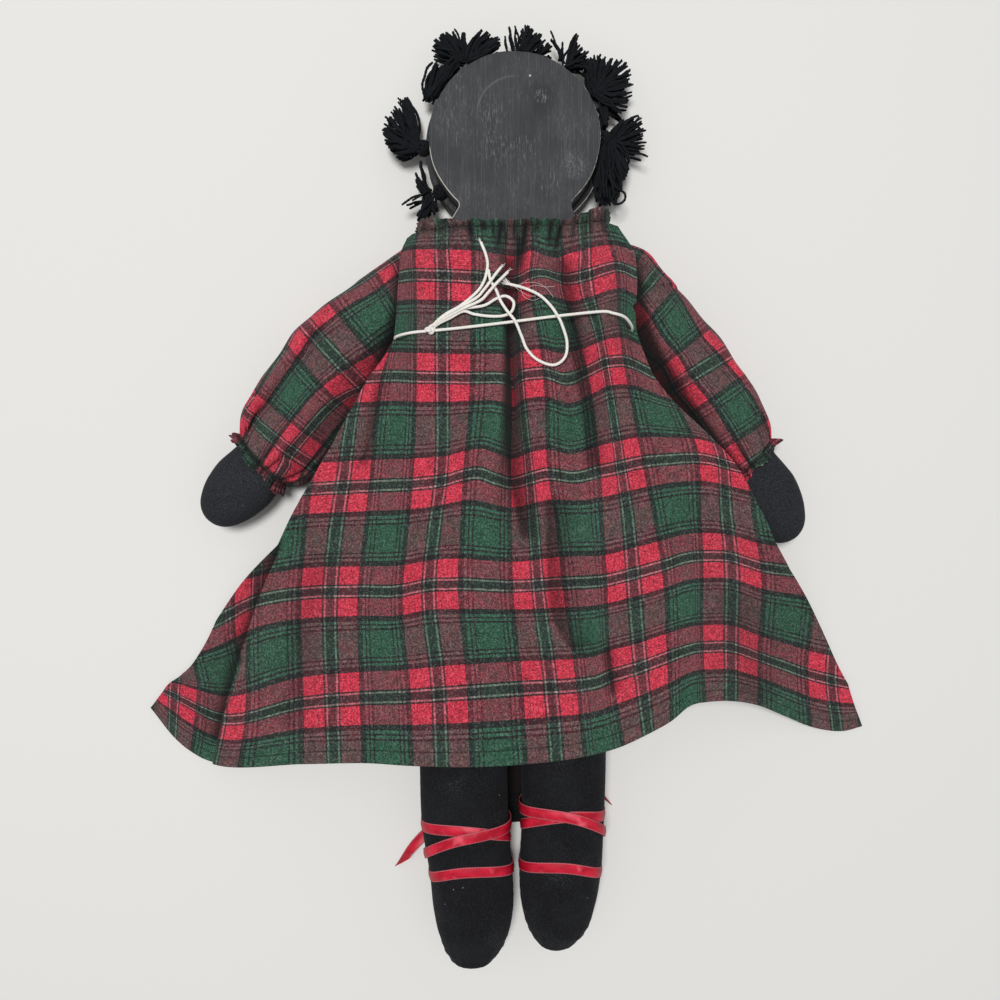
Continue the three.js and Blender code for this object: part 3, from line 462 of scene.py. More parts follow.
def in_bundle(strand):
    """The bundle's route, shifted to one strand's place in it."""
    left, up = STRANDS[strand]
    way = np.array(BUNDLE_ROUTE[-1]) - np.array(BUNDLE_ROUTE[0])
    side = np.array((-way[1], way[0], 0)) / np.hypot(way[0], way[1])
    spread = np.array((0.25, 0.6, 0.9, 1.0))[:, None]
    return (np.array(BUNDLE_ROUTE) + spread * (side * left + np.array((0, 0, up)))).tolist()


# %% [markdown]
# Cotton string is off-white, with soft shadows between its plies and a little fuzz.

# %% Cotton string finish
def cotton_string():
    finish = Finish("cotton_string", Roughness=0.85, Sheen_Weight=0.25)
    where = finish.place()
    dirt = finish.noise(where, (0.5, 0.5, 0.5), 3)
    fibre = finish.noise(where, (5, 5, 5), 2)
    colour = finish.blend(dirt.between(0.3, 0.75), srgb("faf7f1"), srgb("ece8df"))
    finish.feed(Base_Color=finish.blend(fibre.between(0.35, 0.8) * 0.35, colour, srgb("d2cdc2")))
    finish.bump(fibre, 0.12, 0.6)
    return finish.material


STRING = cotton_string()

# %% [markdown]
# A cut end of cotton string opens into its plies. Each end gets a few fine fibres, and the long end, which
# has frayed most, gets a small brush of them.

# %% String pieces
chance = np.random.default_rng(11)


def fray(name, tip, heading, count, reach, spread, radius=0.11):
    """Fine fibres at a cut end, fanning about its heading."""
    tubes = []
    heading = np.asarray(heading, float) / np.linalg.norm(heading)
    for _ in range(count):
        lean = chance.normal(0, spread, 3) * (1, 1, 0.35)
        end = tip + (heading + lean) * reach * chance.uniform(0.5, 1)
        middle = (tip + end) / 2 + chance.normal(0, 0.12 * reach, 3) * (1, 1, 0.3)
        route, at = even_route([tip - heading * 0.5, middle, end], 0.5)
        tubes.append((ply_tube(route, at, radius, 1, sides=4), at))
    piece = joined_tubes(name, tubes, STRING)
    return settle(piece, "body", "cotton_string")


def add_string(name, points, step, *nodes):
    """String along a route; gives the piece, the even route and how far along it each point is."""
    route, at = even_route(points, step)
    piece = joined_tubes(name, [(ply_tube(route, at, STRING_DIAMETER / 2), at)], STRING)
    return settle(piece, "body", "cotton_string", *nodes), route, at


def string_cord(name, points, exit_point, nodes):
    piece, route, at = add_string(name, points, 0.45, *nodes)
    to_frame(exit_point).tolist()
    at[-1] * MM
    to_frame(route).tolist()
    print(name, "is", round(at[-1]), "mm long")


for key in ("a", "b", "c"):
    points = in_bundle(key) + END_ROUTES[key]
    tip, before = np.array(points[-1]), np.array(points[-2])
    fibres = fray(f"string_end_{key}_fibres", tip, tip - before, 7, 2.6, 0.35)
    nodes = [f"string_end_{key}"] + (["string_bundle"] if key == "c" else [])
    string_cord(f"string_end_{key}", points, KNOT, nodes)
loop_points = in_bundle("loop_out") + END_ROUTES["loop"] + in_bundle("loop_back")[::-1]
string_cord("string_loop", loop_points, KNOT, ["string_loop"])
end_points = END_ROUTES["e"]
tip = np.array(end_points[-1])
brush = fray("string_end_e_fibres", tip, (-1, 0.55, 0.1), 26, 4.2, 0.28)
STRAY_ROUTES = [
    [(-1, 109.4, 48.2), (3, 106.4, 48), (7, 104, 48), (11, 103.6, 48.2)],
    [(1, 108.6, 48.4), (6, 110.6, 48.2), (12, 110.2, 48), (17, 107, 48), (20, 103, 48)],
    [(6, 107.2, 48.6), (10, 109.2, 48.2), (16, 108.4, 48), (20.5, 108.8, 48)],
    [(3, 108, 48.4), (5, 103.4, 48), (9.6, 101.6, 48), (14, 103.2, 48.2)],
]
stray_tubes = []
for points in STRAY_ROUTES:
    route, at = even_route(points, 0.6)
    stray_tubes.append((ply_tube(route, at, 0.07, 1, sides=4), at))
stray = settle(joined_tubes("string_end_e_strays", stray_tubes, STRING), "body", "cotton_string")
string_cord("string_end_e", end_points, END_ROUTES["a"][3], ["string_end_e"])

at = add_string("chest_string", CHEST_ROUTE, 0.5, "chest_string")[2]
print("chest string is", round(at[-1]), "mm round")

# %% [markdown]
# The knot is an overhand knot pulled small. A trefoil curve, flattened and laid along the bundle, has the
# same crossings.

# %% String knot
KNOT_REACH = 0.82
KNOT_LEAN = math.radians(24)
KNOT_LIFT = np.array((0.4, 0.6, 2.4))
t = np.linspace(0, 2 * np.pi, 73)[:-1]
trefoil = np.stack([np.sin(t) + 2 * np.sin(2 * t), np.cos(t) - 2 * np.cos(2 * t), -0.8 * np.sin(3 * t)], -1)
trefoil = trefoil * (KNOT_REACH, 0.8 * KNOT_REACH, 1.0)
turned = np.stack([trefoil[:, 0] * math.cos(KNOT_LEAN) - trefoil[:, 1] * math.sin(KNOT_LEAN),
                   trefoil[:, 0] * math.sin(KNOT_LEAN) + trefoil[:, 1] * math.cos(KNOT_LEAN),
                   trefoil[:, 2]], -1)
at = add_string("string_knot", turned + KNOT + KNOT_LIFT, 0.4, "string_knot")[2]
print("the knot takes up", round(at[-1]), "mm of string")

# %% [markdown]
# The head is two pine boards painted black by hand. The paint has dulled, the grain shows through as fine
# streaks along the board, and the sawn edges are rubbed down to pale wood. The mesh marks its rounded edges
# with an attribute, so that the finish knows where hands have worn it.

# %% Painted wood finish
def painted_wood(name, paint, low, high):
    finish = Finish(name, Roughness=0.62, Specular_IOR_Level=0.3)
    where = finish.place()
    grain = finish.noise(where, (1.5, 0.035, 0.6), 4)
    scratch = finish.noise(where, (2.6, 0.3, 1.0), 3)
    cloud = finish.noise(where, (0.05, 0.04, 0.05), 3)
    fleck = finish.noise(where, (1.3, 0.7, 1.0), 3)
    edge = finish.marked("worn_edge")
    colour = finish.blend(cloud.between(0.35, 0.68), srgb(low), srgb(paint))
    colour = finish.blend(grain.between(0.52, 0.68) * 0.75, colour, srgb(high))
    colour = finish.blend(grain.between(0.48, 0.34) * 0.75, colour, srgb(low))
    rubbed = scratch.between(0.56, 0.74) * cloud.between(0.4, 0.62)
    colour = finish.blend(rubbed * 0.45, colour, srgb("8b8c8e"))
    scored = finish.noise(where, (2.2, 0.16, 1.0), 2).between(0.66, 0.74)
    colour = finish.blend(scored * cloud.between(0.5, 0.66) * 0.35, colour, srgb("a9aaa9"))

    def distance(spot):
        return finish.node("ShaderNodeVectorMath", {"operation": "DISTANCE"}, {
            0: where, 1: tuple(to_frame(spot) / MM)}, 1)

    def near(spot, reach):
        return distance(spot).between(reach, 0.35 * reach)

    colour = finish.blend(near(SMUDGE, 12.0) * 0.7, colour, srgb("27282a"))
    colour = finish.blend(near(SMUDGE_LOW, 9.0) * 0.5, colour, srgb("2b2c2e"))
    colour = finish.blend(near(SMUDGE, 4.5) * scratch.between(0.54, 0.62) * 0.6, colour, srgb("b9b9b6"))
    colour = finish.blend(near(SCUFF, 9.0) * fleck.between(0.4, 0.75) * 0.5, colour, srgb("8f8f8d"))
    for middle, reach in SCRATCHES:
        colour = finish.blend(near(middle, reach) * scratch.between(0.55, 0.7) * 0.36, colour, srgb("9a9b9b"))
    colour = finish.blend(near(PAINT_DROP, 0.75), colour, srgb("c9c8c3"))
    ring = (distance(ARC_CENTRE) - ARC_RADIUS).size()
    arc_x, arc_y = (float(c) for c in to_frame(ARC_CENTRE)[:2] / MM)
    upper = (finish.part(where, 0) - arc_x).between(4, -8) * (finish.part(where, 1) - arc_y).between(-4, 6)
    colour = finish.blend(ring.between(0.8, 0.2) * upper * 0.13, colour, srgb("a5a6a7"))
    patch = finish.noise(where, (0.22, 0.22, 0.3), 3)
    bare = (edge + (patch - 0.5) * 0.9).between(0.45, 0.72)
    finish.feed(Base_Color=finish.blend(bare, colour, srgb("c9c5bb")),
                Roughness=0.55 + 0.3 * grain)
    finish.bump(grain * 0.6 + scratch * 0.4, 0.2, 0.5)
    return finish.material


# A dark smudge with pale flecks, a scuffed patch and a drop of pale paint on the back of the head.
SMUDGE = (15.3, 217.6, 25.5)
SMUDGE_LOW = (14.0, 209.0, 25.5)
SCUFF = (33.2, 180.5, 25.5)
PAINT_DROP = (8.9, 228.6, 25.5)
# A faint scratched arc, as if a tin had stood there.
ARC_CENTRE = (0.8, 208, 25.5)
ARC_RADIUS = 20.4
SCRATCHES = [
    ((-9, 190, 25.5), 15.0), ((7, 191, 25.5), 9.0), ((-12, 206, 25.5), 10.0), ((20, 170, 25.5), 9.0),
]
HEAD_PAINT = painted_wood("head_paint", "404143", "343538", "505155")
# The face board's black is the head's, painted darker as shade, for its rim lies below the head board.
SHADED_FACE_PAINT = painted_wood("shaded_face_paint", "2e2f31", "262729", "3a3b3d")

# %% [markdown]
# Each board is its outline carried up through a few rings, which round the edges over. The head board's
# round runs into a neck that widens to a tab inside the body.

# %% Head boards
BOARD = 12.6
SEAT = 0.35
HEAD_RADIUS = 46.3
FACE_RADIUS = 49.2
NECK_Y = 159.7
TAB_HALF = 42.0
TAB_TOP = NECK_Y - 20
TAB_END = TAB_TOP - 28
EDGE_ROUND = 0.55
# Where the rim is rubbed bare: degrees round from the right, and how much.
HEAD_WEAR = [
    (0, 0.56), (60, 0.5), (75, 0.36), (150, 0.36), (185, 0.42), (192, 1), (250, 1), (262, 0.2), (300, 0.3),
    (318, 0.62), (360, 0.56),
]
FACE_WEAR = [(0, 0.3), (290, 0.3), (305, 0.8), (345, 0.8), (360, 0.3)]


def add_board(name, outline, z, material, wear_round):
    """An outline of points with outward directions, carried up from z with rounded edges."""
    points, out = outline
    from_centre = points - FACE_CENTRE
    degrees = np.degrees(np.arctan2(from_centre[:, 1], from_centre[:, 0])) % 360
    rubbed = table(wear_round, degrees)
    turn = np.linspace(0, np.pi / 2, 5)
    insets = [2.6, *(EDGE_ROUND * (1 - np.sin(turn))), *(EDGE_ROUND * (1 - np.sin(turn[::-1]))), 2.6]
    heights = [0, *(EDGE_ROUND * (1 - np.cos(turn))), *(BOARD - EDGE_ROUND * (1 - np.cos(turn[::-1]))), BOARD]
    wear = np.array([0, 0, 0, 0, 0, 0, 0.2, 0.8, 1, 0.9, 0.2, 0])
    ripple = 0.12 * np.sin(np.arange(len(points)) * 0.37) + 0.1 * np.sin(np.arange(len(points)) * 0.131)
    rings = [np.column_stack([points - out * (inset + ripple[:, None] * (inset < 2)),
                              np.full(len(points), z + height)]) for inset, height in zip(insets, heights)]
    piece = add_grid(name, np.array(rings), material, None, closed=True, caps=True)
    mark(piece, "worn_edge", wear[:, None] * rubbed[None])
    return piece


def round_outline(radius, count=180):
    a = np.linspace(0, 2 * np.pi, count, endpoint=False)
    out = np.stack([np.cos(a), np.sin(a)], -1)
    return FACE_CENTRE + radius * out, out


def head_outline():
    start = math.asin((NECK_Y - FACE_CENTRE[1]) / HEAD_RADIUS)
    a = np.linspace(start, np.pi - start, 150)
    arc = FACE_CENTRE + HEAD_RADIUS * np.stack([np.cos(a), np.sin(a)], -1)
    x = FACE_CENTRE[0]
    corners = [(x - TAB_HALF, TAB_TOP), (x - TAB_HALF, TAB_END),
               (x + TAB_HALF, TAB_END), (x + TAB_HALF, TAB_TOP)]
    loop = [arc[-1], *np.array(corners), arc[0]]
    runs = [np.linspace(p, q, 14, endpoint=False)[1:] for p, q in zip(loop[:-1], loop[1:])]
    points = np.vstack([arc, *runs])
    for corner, reach in ((arc[0], 7.0), (arc[-1], 3.2)):
        near_corner = smooth((reach - np.linalg.norm(points - corner, axis=1)) / 4)[:, None]
        for _ in range(int(reach)):
            even = (np.roll(points, 1, 0) + np.roll(points, -1, 0)) / 2
            points = mix(points, even, 0.6 * near_corner)
    ahead = np.roll(points, -1, 0) - np.roll(points, 1, 0)
    out = np.stack([ahead[:, 1], -ahead[:, 0]], -1)
    return points, unit(out)


face = add_board("face_board_painted", round_outline(FACE_RADIUS), 0.0, SHADED_FACE_PAINT, FACE_WEAR)
settle(face, "body", "painted_wood", "face_board")
head = add_board("head_board_painted", head_outline(), BOARD + SEAT, HEAD_PAINT, HEAD_WEAR)
settle(head, "body", "painted_wood", "head_board")
print("head boards:", len(face.data.polygons) + len(head.data.polygons), "faces")

# %% [markdown]
# The hair is tufts of black wool yarn tied round the rim. A tuft is a fan of strands from its root to a line
# of cut tips, several deep. The photograph gives the root and the line of tips; the strands share out the
# fan with a little chance, and each is a two-ply tube that bends and thins at its cut end.

# %% Yarn finish
def wool_yarn():
    finish = Finish("wool_yarn", Roughness=0.9, Specular_IOR_Level=0.25, Sheen_Weight=0.05,
                    Sheen_Roughness=0.4)
    finish.shader.inputs["Sheen Tint"].default_value = srgb("6a7480")
    where = finish.place()
    fuzz = finish.noise(where, (4, 4, 4), 3)
    shade = finish.noise(where, (0.3, 0.3, 0.3), 2)
    colour = finish.blend(shade.between(0.3, 0.7), srgb("06080a"), srgb("101419"))
    finish.feed(Base_Color=finish.blend(fuzz.between(0.5, 0.75) * 0.5, colour, srgb("2f363c")))
    finish.bump(fuzz, 0.25, 0.8)
    return finish.material


YARN = wool_yarn()
YARN_DIAMETER = 1.5
HAIR_Z = BOARD + SEAT
# Root pixel, the pixels of its tips in order round the fan, how many strands, and how the strands bow from
# the first tip to the last (to the left of their run, as a share of it).
TUFT_FANS = {
    "hair_tuft_1": [
        (
            (414.5, 150),
            [
                (409.5, 99), (403, 98.5), (397, 104), (391, 114), (385, 124), (383.5, 132), (385, 142),
                (390, 150), (397, 156), (404, 157),
            ],
            115, -0.1, 0.1,
        ),
    ],
    "hair_tuft_2": [
        ((429.2, 194.8), [(418.5, 157.2), (422.2, 163.9)], 4, 0, 0),
        ((429.2, 194.8), [(417.2, 174.3), (415.5, 182.8)], 16, 0.1, 0.1),
        ((429.2, 195.8), [(400.5, 206.8), (411.4, 205), (414.4, 202)], 6, 0, 0),
        ((429.2, 193.8), [(416.2, 220.7), (420.9, 222.5), (431, 218), (439.4, 210.5)], 32, 0, 0),
    ],
    "hair_tuft_3": [
        ((428.4, 97.6), [(433, 66.6), (438, 66), (444, 65), (449.5, 68), (457, 69)], 60, 0.14, -0.1),
        ((436, 86), [(452, 62), (458, 60), (462, 66)], 24, 0, -0.06),
        ((430.5, 97.5), [(447, 73), (451, 69), (457, 65)], 30, -0.02, -0.04),
    ],
    "hair_tuft_4": [
        (
            (463, 61.6),
            [(433.8, 58.4), (432, 49.6), (436.6, 43), (443, 37.4), (449.5, 38), (456, 34)],
            66, 0.05, -0.05,
        ),
        ((464, 61), [(462, 30.6), (465, 31)], 5, 0, 0),
        ((466, 60), [(462, 40), (468, 44)], 8, 0, 0),
    ],
    "hair_tuft_5": [
        ((466.2, 60.8), [(470, 45), (475, 39), (482.8, 33)], 26, 0, 0),
        (
            (470, 59.8),
            [(481, 38), (488.4, 36.8), (495.8, 39), (499.7, 45), (500, 50.5), (490, 54.4)],
            62, 0.08, -0.1,
        ),
    ],
    "hair_tuft_6": [
        ((507.2, 52), [(504.4, 34), (504.8, 33.6)], 2, 0, 0),
        ((511.6, 52), [(508.8, 31), (509.2, 31)], 2, 0, 0),
        ((517.6, 52), [(514.4, 28.3), (516.4, 28.3)], 4, 0, 0),
        (
            (525.4, 53),
            [(520.7, 32), (527.2, 30), (534.6, 32.6), (542, 37.6), (541, 43), (533, 50.5)],
            58, 0.08, -0.08,
        ),
    ],
    "hair_tuft_7": [((538.5, 54.4), [(541, 46), (545, 44.6), (550.3, 47.7), (552.2, 54.2)], 22, 0, 0)],
    "hair_tuft_8": [
        ((561.4, 63), [(549.6, 34.6), (551, 35.4)], 3, -0.06, -0.06),
        ((560.5, 63), [(562, 44), (562.6, 45)], 3, 0, 0),
        (
            (568.8, 66.4),
            [(574.6, 39), (577, 38.5), (580.8, 48), (587.3, 53.4), (588.6, 58.6), (590, 66)],
            46, 0.06, -0.06,
        ),
        ((572, 66), [(588, 74), (584, 62), (594, 78)], 16, 0, 0),
    ],
    "hair_tuft_9": [
        ((592, 90), [(582, 70), (588, 62), (594, 60)], 26, 0, 0),
        (
            (594.7, 94),
            [
                (588, 68), (597.1, 57.9), (604, 62), (611, 62), (621.5, 62.6), (627.1, 67), (631, 75),
                (626, 84), (633.5, 91.2), (627.1, 101.4), (627.1, 110.6),
            ],
            120, 0.05, -0.08,
        ),
        ((600, 100), [(625.2, 121), (616, 112)], 12, 0, 0),
        ((602, 105), [(601.2, 130), (605.8, 131), (609.5, 120)], 20, -0.1, 0.06),
    ],
    "hair_tuft_10": [
        (
            (609, 143),
            [(620, 123), (629, 120), (637, 117), (643, 123), (645.8, 131), (645.6, 147.6), (636, 153)],
            64, 0.06, -0.06,
        ),
        ((612, 148), [(646.5, 158.9), (645.5, 158)], 2, 0, 0),
        (
            (607, 140),
            [
                (628, 162), (628, 172), (624, 181), (620, 192), (616, 205), (605, 206.4), (598, 206),
                (594.6, 190),
            ],
            100, 0.08, -0.06,
        ),
    ],
}


# One loose strand ends in a curl beside the neck.
CURL_TUFT = "hair_tuft_10"
CURL_PIXELS = [(608, 175), (614, 186), (621, 190.5), (625, 194), (624.6, 200), (619, 204), (613, 202.5),
               (611, 197)]
CURL_Z = HAIR_Z + 5


def yarn_tube(route, at, radius):
    return ply_tube(route, at, radius, plies=2, lay=4.5, depth=0.3, sides=8), at


def yarn_strand(root, tip, depth, bow):
    """One strand from root to tip, given as pixels at the hair's height plus its depth."""
    start = np.array((*under_pixel(*root, HAIR_Z), HAIR_Z + 0.35 * depth))
    end = np.array((*under_pixel(*tip, HAIR_Z), HAIR_Z + depth))
    way = end - start
    side = np.array((-way[1], way[0], 0))
    points = [start]
    for share in (0.3, 0.55, 0.8):
        sway = chance.normal(0, 0.022)
        points.append(start + share * way + side * (4 * bow * share * (1 - share) + sway)
                      + (0, 0, depth * 0.7 * share * (1 - share)))
    route, at = even_route([*points, end], 1.1)
    share = np.linspace(0, 1, len(route))
    radius = YARN_DIAMETER / 2 * (1 - 0.2 * smooth((share - 0.9) / 0.1)) * chance.uniform(0.85, 1.12)
    return yarn_tube(route, at, radius)


def tuft_piece(name, fans):
    tubes = []
    for root, tips, count, first_bow, last_bow in fans:
        tips = np.array(tips, float)
        for k in range(count):
            turn = (k + chance.uniform(0, 1)) / count
            at = turn * (len(tips) - 1)
            tip = np.array([np.interp(at, np.arange(len(tips)), tips[:, c]) for c in (0, 1)])
            reach = chance.uniform(0.9, 1.03) if chance.uniform() < 0.7 else chance.uniform(0.66, 0.92)
            start = np.array(root) + chance.normal(0, min(2.2, 0.5 * count), 2)
            tip = mix(np.array(root), tip, reach)
            tubes.append(yarn_strand(start, tip, chance.uniform(-5.2, 5.2),
                                     mix(first_bow, last_bow, turn) + chance.normal(0, 0.03)))
    if name == CURL_TUFT:
        curl = [(*under_pixel(*pixel, CURL_Z), CURL_Z) for pixel in CURL_PIXELS]
        tubes.append(yarn_tube(*even_route(curl, 0.9), YARN_DIAMETER / 2))
    piece = joined_tubes(name + "_yarn", tubes, YARN)
    return settle(piece, "body", "yarn", name)


for name, fans in TUFT_FANS.items():
    tuft_piece(name, fans)
print("hair:", sum(fan[2] for fans in TUFT_FANS.values() for fan in fans), "strands")

# %% [markdown]
# Three tufts hang from yarn wound into a small ball. The ball is one strand wound over and over: a great
# circle whose plane turns a little with every pass.

# %% Wound yarn balls
BALL_PIXELS = {"hair_tie_1": (423.6, 148.4), "hair_tie_2": (440.5, 192.5), "hair_tie_3": (604.5, 139)}
BALL_REACH = 3.6
BALL_PASSES = 15
BALL_TILTS = 1.37
BALL_YARN = 0.95
for name, pixel in BALL_PIXELS.items():
    centre = np.array((*under_pixel(*pixel, HAIR_Z), HAIR_Z))
    t = np.linspace(0, 1, 420)
    spin = 2 * np.pi * BALL_PASSES * t
    tilt = 2 * np.pi * BALL_TILTS * t
    ring = np.stack([np.cos(spin), np.sin(spin) * np.cos(tilt * 3), np.sin(spin) * np.sin(tilt * 3)], -1)
    turn = np.stack([ring[:, 0] * np.cos(tilt) - ring[:, 1] * np.sin(tilt),
                     ring[:, 0] * np.sin(tilt) + ring[:, 1] * np.cos(tilt), ring[:, 2]], -1)
    far = run_lengths(turn * BALL_REACH)
    piece = joined_tubes(name + "_yarn", [yarn_tube(centre + turn * BALL_REACH, far, BALL_YARN)], YARN)
    settle(piece, "body", "yarn", name)

# %% [markdown]
# Torso, arms and legs are black cotton stuffed with wadding: matt, a little dusty, with a fine weave and
# specks of lint.

# %% Black cotton finish
def black_cotton():
    finish = Finish("black_cotton", Roughness=0.95, Specular_IOR_Level=0.25, Sheen_Weight=0.06,
                    Sheen_Roughness=0.5)
    finish.shader.inputs["Sheen Tint"].default_value = srgb("8b8f96")
    where = finish.place()
    weave = finish.noise(where, (1.9, 1.5, 1.9), 2)
    slub = finish.noise(where, (1.7, 0.3, 0.8), 2)
    dust = finish.noise(where, (0.05, 0.05, 0.05), 4)
    lint = finish.node("ShaderNodeTexVoronoi", {"feature": "F1"}, {
        "Vector": finish.stretch(where, (0.11,) * 3), "Scale": 1.0, "Randomness": 1.0})
    colour = finish.blend(dust.between(0.45, 0.75), srgb("0b0b0d"), srgb("17181b"))
    colour = finish.blend(weave.between(0.5, 0.72) * 0.6, colour, srgb("2e3035"))
    colour = finish.blend(slub.between(0.52, 0.7) * 0.3, colour, srgb("26282d"))
    dusty = finish.noise(where, (0.028,) * 3, 2).between(0.56, 0.7) * weave.between(0.45, 0.7)
    colour = finish.blend(dusty * 0.45, colour, srgb("4a4c50"))
    # Painted light: the arms are painted a little paler all over, as where light catches them.
    handled = finish.marked("handled")
    colour = finish.blend(handled * (0.12 + weave.between(0.36, 0.7) * 0.55), colour, srgb("3d3f44"))
    speck = lint.between(0.05, 0.02) * finish.noise(where, (0.04,) * 3, 1).between(0.44, 0.5)
    finish.feed(Base_Color=finish.blend(speck * 0.7, colour, srgb("8c8e8e")))
    finish.bump(weave * 0.6 + slub * 0.4, 0.22, 0.7)
    return finish.material


COTTON = black_cotton()

# %% [markdown]
# A stuffed limb is a row of rounded oval sections, closed at both ends. Seams run along its two sides: the
# section is drawn in a little there, with fine puckers along the stitches.

# %% Stuffed sections
def power(v, exponent):
    return np.sign(v) * np.abs(v) ** exponent


def stuffed(rows, place, fullness=2.1, count=72, step=1.6):
    """Rings of a stuffed piece. Rows give a run and sizes along it; place(sizes, across, up) gives points."""
    rows = np.array(rows, float)
    far = run_lengths(rows[:, :2])
    fine = np.linspace(0, far[-1], int(far[-1] / step))
    sizes = np.stack([hermite(fine, far, column) for column in rows.T], -1)
    angle = np.linspace(0, 2 * np.pi, count, endpoint=False)
    across = power(np.cos(angle), 2 / fullness)
    up = power(np.sin(angle), 2 / fullness)
    seam = np.exp(-(np.sin(angle) / 0.09) ** 2)
    pucker = 0.6 + 0.4 * np.sin(fine / 0.9)[:, None]
    drawn = 1 - 0.018 * seam[None] * pucker
    return place(sizes, across[None] * drawn, up[None] * drawn)


def add_stuffed(name, rings, body, *nodes, fill=0.8):
    piece = add_grid(name, rings, COTTON, None, closed=True, caps=True)
    settle(piece, body, "black_cotton", *nodes)
    return piece


# %% [markdown]
# The torso is almost hidden by the dress. It keeps the solid's outline but is let down a little at the back,
# which leaves room for the folds of the gathered cloth.

# %% Torso
TORSO_ROWS = [
    (146, 40, 12, 25), (142, 46, 8.5, 26), (136, 48, 6.5, 28), (128, 50, 5.5, 29), (116, 51, 5, 30.5),
    (102, 51, 4.6, 31), (86, 51, 4.4, 31), (62, 52, 4.4, 31), (34, 52, 4.4, 32), (6, 50, 4.4, 33),
    (-9, 47, 5.5, 33), (-17, 41, 9, 31), (-21, 29, 14, 28),
]


def torso_place(sizes, across, up):
    run, half, low, high = (sizes[:, k:k + 1] for k in range(4))
    return np.stack([half * across, run + 0 * across, (low + high) / 2 + (high - low) / 2 * up], -1)


add_stuffed("torso_stuffed", stuffed(TORSO_ROWS, torso_place, 2.4, 72, 3.0), "body", "torso", fill=0.7)

# %% [markdown]
# An arm runs straight out from its shoulder to a mitten hand. Its frame counts along the arm from the
# shoulder and inwards to the body, so both arms share one table.

# %% Arms
SHOULDER = np.array((62.0, 114.0))
ARM_LENGTH = 168.5
WRIST = ARM_LENGTH - 46
ARM_ROOT_Z = 18.0
HAND_Z = 15.0
ARM_ANGLES = {"left": (-1, math.radians(39.4)), "right": (1, math.radians(35.4))}
ARM_ROWS = [
    (-10.6, 2.4, 1.4), (-9.6, 5.4, 2.6), (-6.6, 8.8, 4), (-2, 10.8, 5.6), (8, 11, 8.6), (24, 11.3, 11),
    (65, 15, 12), (104, 16.2, 11), (118, 15.6, 10.6), (127, 16.8, 11), (135, 17.8, 11.2), (143, 17, 11),
    (149, 15.6, 10.4), (154, 13.6, 9.2), (158.5, 11, 7.6), (161.5, 8, 5.6), (163.4, 4.4, 3),
    (164.2, 0.6, 0.4),
]
# The left hand turns out a little and the right hand in.
HAND_TURN = {"left": -1.6, "right": 2.6}


def arm_frame(side, angle, along, inward, z):
    return np.stack([side * (SHOULDER[0] + math.sin(angle) * along - math.cos(angle) * inward),
                     SHOULDER[1] - math.cos(angle) * along - math.sin(angle) * inward,
                     z + 0 * along], -1)


def arm_z(along):
    return mix(ARM_ROOT_Z, HAND_Z, np.clip(along / WRIST, 0, 1))


for name, (side, angle) in ARM_ANGLES.items():
    def arm_place(sizes, across, up):
        along, half, tall = (sizes[:, k:k + 1] for k in range(3))
        dent = 0.35 * np.sin(along / 7 + 3 * up) * np.sin(along / 19 + across)
        inward = half * across + HAND_TURN[name] * smooth((along - 118) / 46)
        return arm_frame(side, angle, along + 0 * across, inward, arm_z(along) + (tall + dent) * up)

    arm = add_stuffed(f"{name}_arm_stuffed", stuffed(ARM_ROWS, arm_place, 2.15), f"{name}_arm", f"{name}_arm")
    # The arms are marked for that painted light.
    mark(arm, "handled", np.ones(len(arm.data.vertices)))

# %% [markdown]
# Legs taper to rounded feet. Their rows give y, the centre's distance from the middle, the half width and
# the front and back heights. The cloth is eased in small pleats round each toe.

# %% Legs
LEG_FRONT = 3.2
LEG_BACK = 38.3
HIP_X = 26.0
HIP_Y = -30.0
HIP_Z = (LEG_FRONT + LEG_BACK) / 2
LEG_BALL = 22.0
LEG_BALL_TALL = 17.0
LEG_FULLNESS = 2.1
LEG_ROWS = {
    "left": [
        (-60, 26.5, 23, LEG_FRONT, LEG_BACK), (-100, 27, 23.8, LEG_FRONT, LEG_BACK),
        (-146, 27, 24, LEG_FRONT, 37.7), (-178, 26, 23.7, LEG_FRONT, 36.8),
        (-203, 23, 22.7, LEG_FRONT, 35.3), (-224, 21.8, 21.7, LEG_FRONT, 33.3),
        (-239, 21.8, 18.4, 3.6, 30.5), (-249, 22.3, 13.3, 7, 26.5), (-254.5, 22.8, 7.4, 11, 22.5),
        (-256.5, 23, 1.5, 15, 18),
    ],
    "right": [
        (-60, 26.5, 22.6, LEG_FRONT, LEG_BACK), (-100, 27, 23, LEG_FRONT, LEG_BACK),
        (-146, 27.2, 23, LEG_FRONT, 37.7), (-178, 26.7, 22.4, LEG_FRONT, 36.8),
        (-203, 25.4, 22.3, LEG_FRONT, 35.3), (-221, 24.6, 20.2, LEG_FRONT, 32.3),
        (-233, 24.4, 16.6, 4, 29.5), (-240.5, 23.8, 11.8, 8, 25.5), (-245, 23.2, 6.4, 11.5, 22),
        (-246.7, 23, 1.4, 15, 18),
    ],
}
SIDES = {"left": -1, "right": 1}


def leg_skin(name, y, angle, off):
    """Points on a leg's skin, or off it by some distance, at a height y and an angle round the leg."""
    centre, half, low, high = (table(LEG_ROWS[name], y, column) for column in (1, 2, 3, 4))
    across = power(np.cos(angle), 2 / LEG_FULLNESS)
    up = power(np.sin(angle), 2 / LEG_FULLNESS)
    return np.stack([SIDES[name] * centre + (half + off) * across, y + 0 * across,
                     (low + high) / 2 + ((high - low) / 2 + off) * up], -1)


